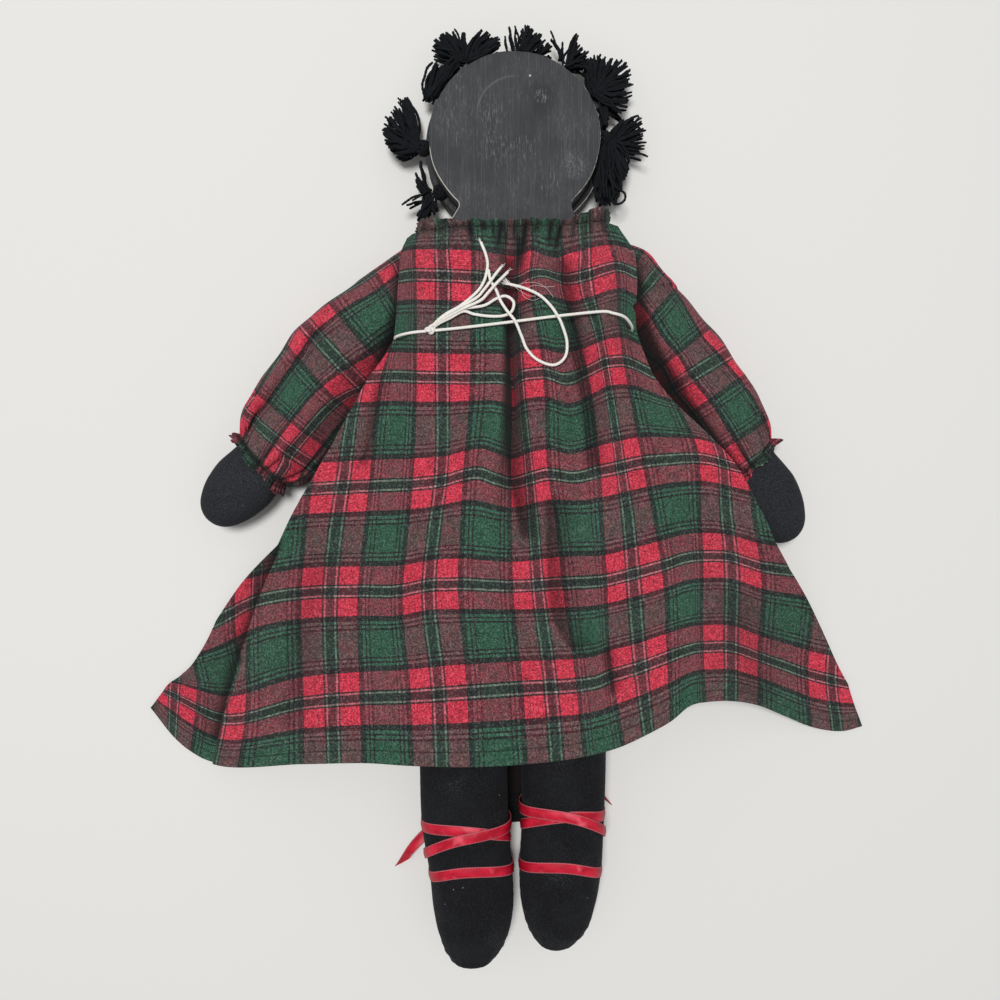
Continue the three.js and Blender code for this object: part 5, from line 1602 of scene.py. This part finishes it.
front_rows = []
front_cut = []
hem_line = back_points[-1]
for i in range(0, ROWS, 2):
    row, across = front_row(back_points[i, 0], back_points[i, -1])
    down_share = smooth((down[i, 0] - 150) / (HEM_V - 150))
    bow = np.interp(row[:, 0], hem_line[:, 0], hem_line[:, 1]) - np.interp(
        row[:, 0], [hem_line[0, 0], hem_line[-1, 0]], [hem_line[0, 1], hem_line[-1, 1]])
    row[:, 1] += 1.05 * bow * down_share
    row[:, 1] -= FRONT_SAG * down_share ** 2 * smooth((46 - np.abs(row[:, 0])) / 20)
    neck_share = smooth((40 - down[i, 0]) / (40 - NECK_V))
    row[:, 1] -= NECK_DIP * neck_share * np.clip(1 - (row[:, 0] / 52) ** 2, 0, 1)
    wave = 0.5 + 0.5 * np.sin(row[:, 0] / 9.5 + 0.4 * np.sin(down[i, 0] / 23))
    row[:, 2] += 1.3 * wave * smooth((down[i, 0] - 20) / 60) * smooth((row[:, 2] < 4) * 1.0)
    above = np.interp(row[:, 0], back_points[i, :, 0], back_points[i, :, 2])
    row[:, 2] = np.minimum(row[:, 2], np.maximum(above - FRONT_UNDER, FRONT_CLEAR))
    front_rows.append(row)
    front_cut.append(np.stack([across + FRONT_SHIFT, np.full(FRONT_COLUMNS, down[i, 0])], -1))
front_points = np.array(front_rows)
front_cut = np.array(front_cut)
dress_front = add_grid("dress_front_panel", front_points[:, ::-1], TARTAN,
                       panel_maps(front_cut[:, ::-1, 0], front_cut[:, ::-1, 1]))
# A shade is painted on the front where it shows between the legs.
between_legs = smooth((30 - np.abs(front_points[..., 0])) / 14) * smooth((-110 - front_points[..., 1]) / 20)
crease(dress_front, LEG_SHADE * between_legs[:, ::-1])
thicken(dress_front, FLANNEL)
settle(dress_front, "body", "tartan_flannel", "dress_front")

# %% [markdown]
# Sleeves are full tubes. Each starts on the slanting seam that joins it to the panels, swells over the upper
# arm and is gathered by elastic at the wrist. The first ring lies along the seam and the rest are square to
# the arm; the cloth in between turns smoothly from one to the other.

# %% Sleeves
SLEEVE_LENGTH = {"left": WRIST - 3.9, "right": WRIST - 8.4}
CUFF_TILT = 0.2
# Along the arm, outer half width, inner half width, low z and high z.
SLEEVE_ROWS = {
    "left": [
        (10, 21, 13, 3, 33.5), (24, 24, 14.2, 2, 34.6), (41, 28, 19, 1.4, 34.8), (58, 29.4, 25, 1.2, 34.4),
        (80, 28.5, 27.5, 1.2, 33.8), (100, 26.3, 27, 1.5, 32), (110, 23.5, 24.5, 1.8, 30.2),
        (SLEEVE_LENGTH["left"], 18.6, 18.9, 2.6, 28.4),
    ],
    "right": [
        (10, 22, 13, 3, 33.5), (24, 25, 14.2, 2, 34.6), (41, 26.5, 19, 1.4, 34.8),
        (58, 25.4, 24, 1.2, 34.4), (80, 25.8, 25.5, 1.2, 33.8), (97, 24.2, 25, 1.5, 32),
        (106, 21.8, 23, 1.8, 30.2), (SLEEVE_LENGTH["right"], 18.2, 18.6, 2.6, 28.4),
    ],
}
# The seam's ring: neck end, underarm and the heights of its back and front.
SEAM_NECK = {-1: np.array((50.0, 147.0)), 1: np.array((58.0, 143.0))}
SEAM_UNDERARM = np.array((57.0, 94.0))
SEAM_HIGH, SEAM_LOW = 21.0, 3.0
# The sleeve's own seam runs along its under side.
UNDER_SEAM = np.pi + 0.35
ROUND = 144
BRIDGE = 25
SLEEVE_STEPS = 120
# The cloth is cut with its weft along the arm. Two of its lines, by their place in the repeat: the pixels
# where they were seen and how far down the cut each pixel is.
FIRST_LINE, LAST_LINE = 26.4, 56.0
SLEEVE_LINES = {
    "left": {
        FIRST_LINE: [
            (388, 286, -31), (375, 294.5, -21.5), (338.5, 316.5, 0), (315, 334, 13.2), (299.6, 357, 26.4),
            (267, 402, 56), (253, 419, 69.2), (246, 430, 78),
        ],
        LAST_LINE: [
            (404, 322, -27), (369.5, 352.5, 0), (347, 369, 13.2), (324.5, 386, 26.4), (290.5, 423, 56),
            (276.5, 440, 69.2), (262, 462, 82),
        ],
    },
    "right": {
        FIRST_LINE: [
            (672, 290, -30), (678.7, 298.7, -23), (694.7, 320, -9.1), (700, 337.3, 0), (718.7, 358.7, 13.2),
            (736, 379.5, 26.4), (765.5, 423, 56), (771, 437, 63),
        ],
        LAST_LINE: [
            (648, 318, -29.6), (660, 338.7, -14.8), (674.7, 357.3, 0), (687, 378, 13.2), (705, 401.5, 26.4),
            (735, 444, 56), (744, 457, 63),
        ],
    },
}
LINE_HEIGHTS = {FIRST_LINE: 27.0, LAST_LINE: 33.0}
# Beyond these shares between the two lines the stripes go on round the sleeve by the cloth's own length.
SEEN_SHARES = (-0.3, 1.3)
# Pixels along the gap between each sleeve and the skirt, where a shade is painted on the sleeve.
SLEEVE_GAPS = {
    "left": [
        (397, 256), (395, 300), (388, 340), (372, 372), (352, 405), (330, 440), (308, 478), (296, 504),
    ],
    "right": [
        (637, 256), (642, 300), (649, 330), (659, 352), (671, 370), (683, 390), (698, 412), (721, 445),
        (746, 482),
    ],
}
# How dark that painted shade is.
GAP_DARK = {"left": 0.4, "right": 0.62}
# Places where the right sleeve is drawn out or in, how far round them, and which way.
SLEEVE_SHIFTS = {"left": [], "right": [((68, 130), 13, (3.8, 4.2)), ((99, 100), 11, (-1.9, -1.9))]}
GROUP_MIDDLE = 13.2
# How far the sleeve falls away beside the skirt, and how deep its long folds are.
INNER_DROP = {"left": 0.5, "right": 0.8}
OUTER_FOLD = {"left": 1.0, "right": 0.35}
INNER_FOLD = {"left": 0.2, "right": 1.0}
SLEEVE_FULLNESS = 2.3
CUFF_PUFFS = 23
# How dark the shade painted between the cuff's puffs is.
CUFF_DARK = 0.62
SLEEVE_CLEAR = 0.6
# Two places along the arm, and a height.
BLEND_FROM, BLEND_TO, BLEND_Z = -6.0, 26.0, 18.0


def seam_ring(side, angle_round):
    """The ring along the raglan seam; nought is its outer end at the neck."""
    share = 0.5 - 0.5 * np.cos(angle_round)
    x = mix(SEAM_NECK[side][0], SEAM_UNDERARM[0], share) + 4.5 * np.sin(np.pi * share)
    y = mix(SEAM_NECK[side][1], SEAM_UNDERARM[1], share)
    z = (SEAM_HIGH + SEAM_LOW) / 2 + (SEAM_HIGH - SEAM_LOW) / 2 * np.sin(angle_round)
    return np.stack([side * x, y, z], -1)


def in_arm(side, angle, x, y):
    """How far a place is along the arm and inwards from its middle line."""
    out = side * x - SHOULDER[0]
    down_arm = SHOULDER[1] - y
    along = math.sin(angle) * out + math.cos(angle) * down_arm
    return along, math.sin(angle) * down_arm - math.cos(angle) * out


def sleeve_line(name, at, along):
    """Where one line of the cut lies inwards, and how far down the cut it is, for places along the arm."""
    side, angle = ARM_ANGLES[name]
    seen = np.array(SLEEVE_LINES[name][at], float)
    far, inward = in_arm(side, angle, *under_pixel(seen[:, 0], seen[:, 1], LINE_HEIGHTS[at]))
    held = np.clip(along, far[0], far[-1])
    return hermite(held, far, inward), hermite(held, far, seen[:, 2]) + (along - held)


def puffs(turn, count):
    """Rounded puffs round a ring with sharp creases between them."""
    bend = turn + 0.16 * np.sin(3 * turn + count) + 0.09 * np.sin(7 * turn)
    return 1.7 * np.abs(np.sin(0.5 * count * bend)) ** 0.7 - 1


def sleeve_points(name, side, angle):
    angle_round = np.linspace(UNDER_SEAM - 2 * np.pi, UNDER_SEAM, ROUND, endpoint=False)
    outward = power(np.cos(angle_round), 2 / SLEEVE_FULLNESS)[None]
    up = power(np.sin(angle_round), 2 / SLEEVE_FULLNESS)[None]
    length = SLEEVE_LENGTH[name]
    along = np.linspace(SLEEVE_ROWS[name][0][0], length, SLEEVE_STEPS)[:, None]
    outer, inner, low, high = (hermite(along, *np.array(SLEEVE_ROWS[name]).T[[0, k]]) for k in (1, 2, 3, 4))
    inward = np.where(outward > 0, -outer * outward, -inner * outward)
    shear = CUFF_TILT * smooth(along / length)
    middle = (low + high) / 2
    on_top = np.clip(up, 0, 1) ** 0.6
    near_cuff = smooth((along - 76) / 36)
    before_cuff = smooth((length - along) / 10 + 0.4)
    crumple = np.sin(along / 6.5 + 2.5 * np.cos(angle_round)[None])
    crumple = crumple * np.sin(along / 15 + 3 * angle_round[None])
    gathered = 2.3 * near_cuff * puffs(angle_round, CUFF_PUFFS)[None]
    swell = 1 + (gathered * before_cuff + 0.9 * crumple * before_cuff) / 28
    z = middle + (high - low) / 2 * up * swell
    z = z - (z - low - 3) * INNER_DROP[name] * smooth((inward - 6) / 16) * (up > 0)
    gap = inward - sleeve_line(name, FIRST_LINE, along)[0]
    outer_fold = 2.4 * bell(gap + 2.8, 2.6) - 3.6 * bell(gap - 2.2, 2.4)
    gap = inward - sleeve_line(name, LAST_LINE, along)[0]
    inner_fold = 2.8 * bell(gap - 8, 3) - 2.6 * bell(gap - 3, 2.6)
    z = z + on_top * smooth((along - 32) / 16) * before_cuff * (
        OUTER_FOLD[name] * outer_fold + INNER_FOLD[name] * inner_fold)
    rings = arm_frame(side, angle, along + shear * inward * swell, inward * swell, z)
    first = seam_ring(side, angle_round)
    start = np.linspace(0, 1, BRIDGE + 1)[:-1, None, None]
    ahead = (rings[4] - rings[0]) * 2.2
    bridge = (mix(first, rings[0], smooth(start) * 0.5 + start * 0.5)
              + ahead * (0.35 if side < 0 else 0.1) * (start ** 3 - start ** 2))
    return np.concatenate([bridge, rings]), angle_round


def shoulder_tuck(points, side, angle):
    """The right sleeve's cap laps over itself in one tuck, with small pleats above it."""
    along, inward = in_arm(side, angle, points[..., 0], points[..., 1])
    below = along - (5.7 + 0.55 * (-inward - 5.3))
    cap = smooth((inward + 27) / 5) * smooth((-1 - inward) / 5) * smooth((points[..., 2] - 16) / 8)
    lap = smooth(0.5 - below / 1.6) * smooth((below + 16) / 14)
    pleats = 0.7 * smooth((1 - below) / 4) * np.sin(0.95 * inward + 0.1 * along)
    lifted = points.copy()
    lifted[..., 2] += cap * (2.6 * lap + pleats)
    return lifted


def sleeve_cut(name, points):
    """Flat places of a sleeve's grid: down the cut, and round it by the cloth's own length."""
    side, angle = ARM_ANGLES[name]
    rings = points[BRIDGE:]
    ring = np.concatenate([rings, rings[:, :1]], axis=1)
    far = np.concatenate([np.zeros((len(ring), 1)),
                          np.cumsum(np.linalg.norm(np.diff(ring, axis=1), axis=2), axis=1)], axis=1)
    along, inward = in_arm(side, angle, ring[..., 0], ring[..., 1])
    turn = np.linspace(UNDER_SEAM - 2 * np.pi, UNDER_SEAM, ROUND + 1)
    top = (turn > 0) & (turn < np.pi)
    first, first_down = sleeve_line(name, FIRST_LINE, along)
    last, last_down = sleeve_line(name, LAST_LINE, along)
    across = (inward - first) / (last - first)
    seen = np.zeros(far.shape)
    round_cut = np.zeros(far.shape)
    for i in range(len(ring)):
        low, high = np.interp(SEEN_SHARES, across[i, top], far[i, top])
        seen[i] = np.interp(np.clip(far[i], low, high), far[i, top], across[i, top])
        beyond = np.minimum(far[i] - low, 0) + np.maximum(far[i] - high, 0)
        round_cut[i] = mix(FIRST_LINE, LAST_LINE, seen[i]) + beyond
    down_cut = mix(first_down, last_down, seen)
    bridge = np.concatenate([points[:BRIDGE + 1], points[:BRIDGE + 1, :1]], axis=1)
    steps = np.linalg.norm(np.diff(bridge, axis=0), axis=2)
    back_up = np.cumsum(steps[::-1], axis=0)[::-1]
    down_cut = np.concatenate([down_cut[:1] - back_up, down_cut])
    round_cut = np.concatenate([np.repeat(round_cut[:1], BRIDGE, axis=0), round_cut])
    return np.stack([down_cut, round_cut], -1)


sleeves = {}
sleeve_cuts = {}
for name, (side, angle) in ARM_ANGLES.items():
    points, angle_round = sleeve_points(name, side, angle)
    cut = sleeve_cut(name, points)
    sleeve_cuts[name] = cut[-1]
    if side > 0:
        points = shoulder_tuck(points, side, angle)
    for place, reach, shift in SLEEVE_SHIFTS[name]:
        points[..., :2] += bell(np.linalg.norm(points[..., :2] - place, axis=-1), reach)[..., None] * shift
    points[..., 2] = np.maximum(points[..., 2], SLEEVE_CLEAR)
    hem = np.full(cut.shape, NO_HEM)
    order = slice(None, None, -1) if side > 0 else slice(None)
    sleeve = add_grid(f"{name}_sleeve_cloth", points[:, order], TARTAN,
                      {"cut": cut[:, order], "hem": hem}, closed=True)
    # Painted shade on the sleeve: in the gap beside the skirt, and between the puffs near the cuff.
    column, row = over_point(*np.moveaxis(points[:, order], -1, 0))
    x, y = np.array(SLEEVE_GAPS[name], float).T
    into_gap = side * (hermite(np.clip(row, y[0], y[-1]), y, x) - column)
    gap_dark = GAP_DARK[name] * smooth((into_gap + 9) / 11) * smooth((row - 250) / 30)
    along, _ = in_arm(side, angle, points[:, order, 0], points[:, order, 1])
    between_puffs = np.clip((0.25 - puffs(angle_round, CUFF_PUFFS)[order]) / 1.2, 0, 1)
    cuff_dark = CUFF_DARK * smooth((along - SLEEVE_LENGTH[name] + 20) / 16) * between_puffs[None]
    crease(sleeve, 1 - (1 - gap_dark) * (1 - cuff_dark))
    thicken(sleeve, FLANNEL)
    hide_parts(f"{name}_sleeve")
    start, end = (arm_frame(side, angle, np.array(at), np.array(0.0), BLEND_Z)
                  for at in (BLEND_FROM, BLEND_TO))
    to_frame(start).tolist()
    to_frame(end).tolist()
    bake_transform(sleeve)
    diagonals = np.cross(points[1:, 1:] - points[:-1, :-1], points[1:, :-1] - points[:-1, 1:])
    area = np.linalg.norm(diagonals, axis=-1).sum() / 2 * MM ** 2
    long_way = float(np.linalg.norm(np.diff(points, axis=0), axis=2).sum(axis=0).max()) * MM
    flat_sleeve = (1.04 * area / (0.9 * long_way), long_way)
    print(name, "sleeve:", round(area * 1e6), "mm2 of cloth, cut", [round(s, 3) for s in flat_sleeve])
    sleeves[name] = (sleeve, flat_sleeve, min(area, flat_sleeve[0] * flat_sleeve[1]))

# %% [markdown]
# At the neck and the wrists a narrow elastic runs in a casing, and the cloth beyond it stands up as a frill.
# A frill is a ring that waves in and out: more at its free edge, and unevenly, because gathers never fall
# alike. Its free edge is raw.

# %% Frills and elastics
# How dark the shade painted on a frill is between its puckers and at its root, and on a casing all over
# and between its ribs.
PUCKER_DARK, ROOT_DARK = 0.6, 0.4
CASING_DARK, CASING_PUCKER_DARK = 0.35, 0.35


def ruffle(angle, waves, seed):
    """An uneven wave round a ring."""
    drift = np.random.default_rng(seed).uniform(0, 2 * np.pi, 4)
    wobble = 0.5 * np.sin(2 * angle + drift[0]) + 0.35 * np.sin(5 * angle + drift[1])
    return np.sin(waves * angle + 2.2 * wobble) * (0.75 + 0.25 * np.sin(7 * angle + drift[2]))


def neck_ring(angle):
    half = 51.5
    x = half * np.cos(angle)
    up = np.sin(angle)
    back = np.interp(x, back_points[0, :, 0], back_points[0, :, 2])
    line = np.interp(x, back_points[0, :, 0], back_points[0, :, 1])
    front_z = 2.8
    middle = (back[np.argmin(np.abs(x - half))] + front_z) / 2
    z = mix(middle, np.where(up > 0, back, front_z), smooth((np.abs(up) - 0.02) / 0.3))
    y = np.where(up > 0, line, line - NECK_DIP * np.clip(1 - (x / half) ** 2, 0, 1))
    return np.stack([x, y, z], -1), np.stack([np.cos(angle), 0 * x, up], -1)


def frill_maps(first, second):
    """Flat places of a frill that goes on from a panel's cut."""
    cut = np.stack(np.broadcast_arrays(first, second), -1)
    return {"cut": cut, "hem": np.full(cut.shape, NO_HEM)}


def add_frill(name, place, shares, wave, maps, body, node):
    points = np.array([place(share) for share in shares])
    piece = add_grid(name, points, TARTAN, maps, closed=True)
    # Painted shade between the frill's puckers and towards its root.
    pucker = np.clip(0.5 - 0.5 * wave, 0, 1)[None] * (1 - 0.45 * shares[:, None])
    crease(piece, 1 - (1 - PUCKER_DARK * pucker) * (1 - ROOT_DARK * (1 - shares[:, None]) ** 2))
    thicken(piece, FLANNEL)
    return settle(piece, body, "tartan_flannel", node)


def add_casing(name, middle, radius, wave, maps, body, node):
    """A gathered casing over its elastic: a fat ring with a rib for each pucker."""
    centre, out, ahead = middle
    turn = np.linspace(0, 2 * np.pi, len(maps["cut"]))
    rib = (radius * (1 + 0.3 * wave))[:, None]
    points = np.array([centre + (out * np.cos(a) + ahead * np.sin(a)) * rib for a in turn])
    piece = add_grid(name, points, TARTAN, maps, closed=True)
    # Painted shade over the whole casing, darker between its ribs.
    pucker = np.clip(0.5 - 0.5 * wave, 0, 1)[None]
    crease(piece, np.zeros((len(turn), 1)) + CASING_DARK + CASING_PUCKER_DARK * pucker)
    return settle(piece, body, "elastic", node)


NECK_POINTS = 640
NECK_FRILL = 3.2
FRILL_SHARES = np.linspace(0, 1, 12)
CASING_STEPS = np.linspace(0, 4, 13)
angle = np.linspace(0, 2 * np.pi, NECK_POINTS, endpoint=False)
neck_centre, neck_out = neck_ring(angle)
neck_up = np.zeros_like(neck_centre) + (0, 1, 0)
back_u = np.interp(neck_centre[:, 0], back_points[0, :, 0], warp[0])
front_u = np.interp(neck_centre[:, 0], front_points[0, :, 0], front_cut[0, :, 0])
neck_u = np.where(np.sin(angle) >= 0, back_u, front_u)
neck_wave = gather_wave(over_point(neck_centre[:, 0], neck_centre[:, 1], neck_centre[:, 2])[0])
neck_u = np.append(neck_u, front_u[0])
NECK_CUT = NECK_V + GROUP_MIDDLE
add_casing("neck_elastic_casing", (neck_centre + (0, 0.3, -0.9), neck_out, neck_up), 0.9, neck_wave,
           frill_maps(neck_u[None], (NECK_CUT - CASING_STEPS)[:, None]), "body", "neck_elastic")

# Towards the two ends the frill stands up more.
END_RISE = [(-51, 2), (-44, 2.4), (-30, 0), (28, 0), (40, 2.6), (47, 4.6), (51.5, 2.6)]


def neck_frill_ring(share):
    flare = (1.0 + 1.1 * share) * neck_wave * share + 0.5 * share * ruffle(angle, 61, 3)
    side = 1.2 * share * ruffle(angle, 47, 4)
    rise = NECK_FRILL * share * (1 + 0.16 * neck_wave + 0.12 * np.sin(23 * angle))
    rise = rise + share * table(END_RISE, neck_centre[:, 0])
    along = unit(np.roll(neck_centre, -1, 0) - np.roll(neck_centre, 1, 0))
    return (neck_centre + (0, 0.3, 0) + neck_out * flare[:, None] + along * side[:, None]
            + neck_up * rise[:, None])


neck_frill = add_frill("neck_frill_cloth", neck_frill_ring, FRILL_SHARES, neck_wave,
                       frill_maps(neck_u[None], (NECK_CUT - NECK_FRILL * FRILL_SHARES)[:, None]), "body",
                       "neck_frill")

CUFF_POINTS = 320
CUFF_FRILL = 4.8
# The casing's half width and half height, and how far it is past the sleeve's end.
CUFF_HALF, CUFF_TALL, CUFF_PAST = 17.4, 12.2, 0.6
angle = np.linspace(UNDER_SEAM - 2 * np.pi, UNDER_SEAM, CUFF_POINTS, endpoint=False)
for name, (side, arm_angle) in ARM_ANGLES.items():
    def wrist(along, wide, tall):
        inward = -wide * np.cos(angle)
        return arm_frame(side, arm_angle, along + CUFF_TILT * inward, inward, HAND_Z + tall * np.sin(angle))

    seed = 21 if side < 0 else 33
    sleeve_turn = np.linspace(UNDER_SEAM - 2 * np.pi, UNDER_SEAM, ROUND + 1)
    cuff_down, cuff_round = (np.interp(np.append(angle, UNDER_SEAM), sleeve_turn, column)[None]
                             for column in sleeve_cuts[name].T)
    full = np.ones(CUFF_POINTS)
    length = SLEEVE_LENGTH[name]
    start = length + CUFF_PAST
    base = wrist(start, CUFF_HALF * full, CUFF_TALL * full)
    grown = wrist(start, (CUFF_HALF + 1) * full, (CUFF_TALL + 1) * full)
    further = wrist(start + 1, CUFF_HALF * full, CUFF_TALL * full)
    cuff_wave = puffs(angle, CUFF_PUFFS)
    add_casing(f"{name}_wrist_casing", (base, grown - base, further - base), 1.1, cuff_wave,
               frill_maps(cuff_down + CASING_STEPS[:, None], cuff_round), f"{name}_arm",
               f"{name}_wrist_elastic")

    def cuff_ring(share):
        flare = 17.6 + 1.4 * share + (0.6 + 0.9 * share) * cuff_wave + 1.1 * share * ruffle(angle, 41, seed)
        flare = flare + 3.4 * share * np.clip(np.cos(angle), 0, 1) ** 10
        tall = 12.3 + 0.5 * share + (0.5 + 0.7 * share) * cuff_wave + 1.1 * share * ruffle(angle, 41, seed)
        reach = CUFF_FRILL * share * (1 + 0.2 * np.sin(6 * angle + side) + 0.15 * ruffle(angle, 31, seed + 1))
        return wrist(start + reach, flare, np.minimum(tall, HAND_Z - 0.9))

    add_frill(f"{name}_cuff_frill_cloth", cuff_ring, FRILL_SHARES, cuff_wave,
                                  frill_maps(cuff_down + (CUFF_FRILL * FRILL_SHARES)[:, None], cuff_round),
                                  f"{name}_arm", f"{name}_cuff_frill")

# %% [markdown]
# Four pieces are cloth that was cut flat. This cell does nothing more with them.

# %% Sheets of cloth
for name, (sleeve, flat, area) in sleeves.items():
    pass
cut_width * MM

# %% [markdown]
# The table is a pale sheet that fills the view. Soft light comes from a wide lamp above and from all round,
# at a level where a colour renders about as it is written.

# %% Table and light
TABLE_SIZE = 6.0
ROOM_LIGHT = 0.32
LAMP_PLACE, LAMP_SIZE, LAMP_WATTS = (-0.25, 0.35, 2.4), 0.8, 42
pale_table = Finish("pale_table", Roughness=0.9, Base_Color=srgb("e6e5e2")).material
bpy.ops.mesh.primitive_plane_add(size=TABLE_SIZE)
floor = bpy.context.object
floor.name = "table"
floor.data.materials.append(pale_table)

world = bpy.data.worlds.new("room")
bpy.context.scene.world = world
world.use_nodes = True
background = world.node_tree.nodes["Background"]
background.inputs["Color"].default_value = (1, 1, 1, 1)
background.inputs["Strength"].default_value = ROOM_LIGHT

lamp = bpy.data.objects.new("window", bpy.data.lights.new("window", "AREA"))
lamp.data.shape = "DISK"
lamp.data.size = LAMP_SIZE
lamp.data.energy = LAMP_WATTS
lamp.location = LAMP_PLACE
lamp.rotation_mode = "QUATERNION"
lamp.rotation_quaternion = (-lamp.location).to_track_quat("-Z", "Y")
bpy.context.scene.collection.objects.link(lamp)
bpy.context.scene.view_settings.view_transform = "Standard"
print("lamp at", LAMP_PLACE, "m with", LAMP_WATTS, "W")
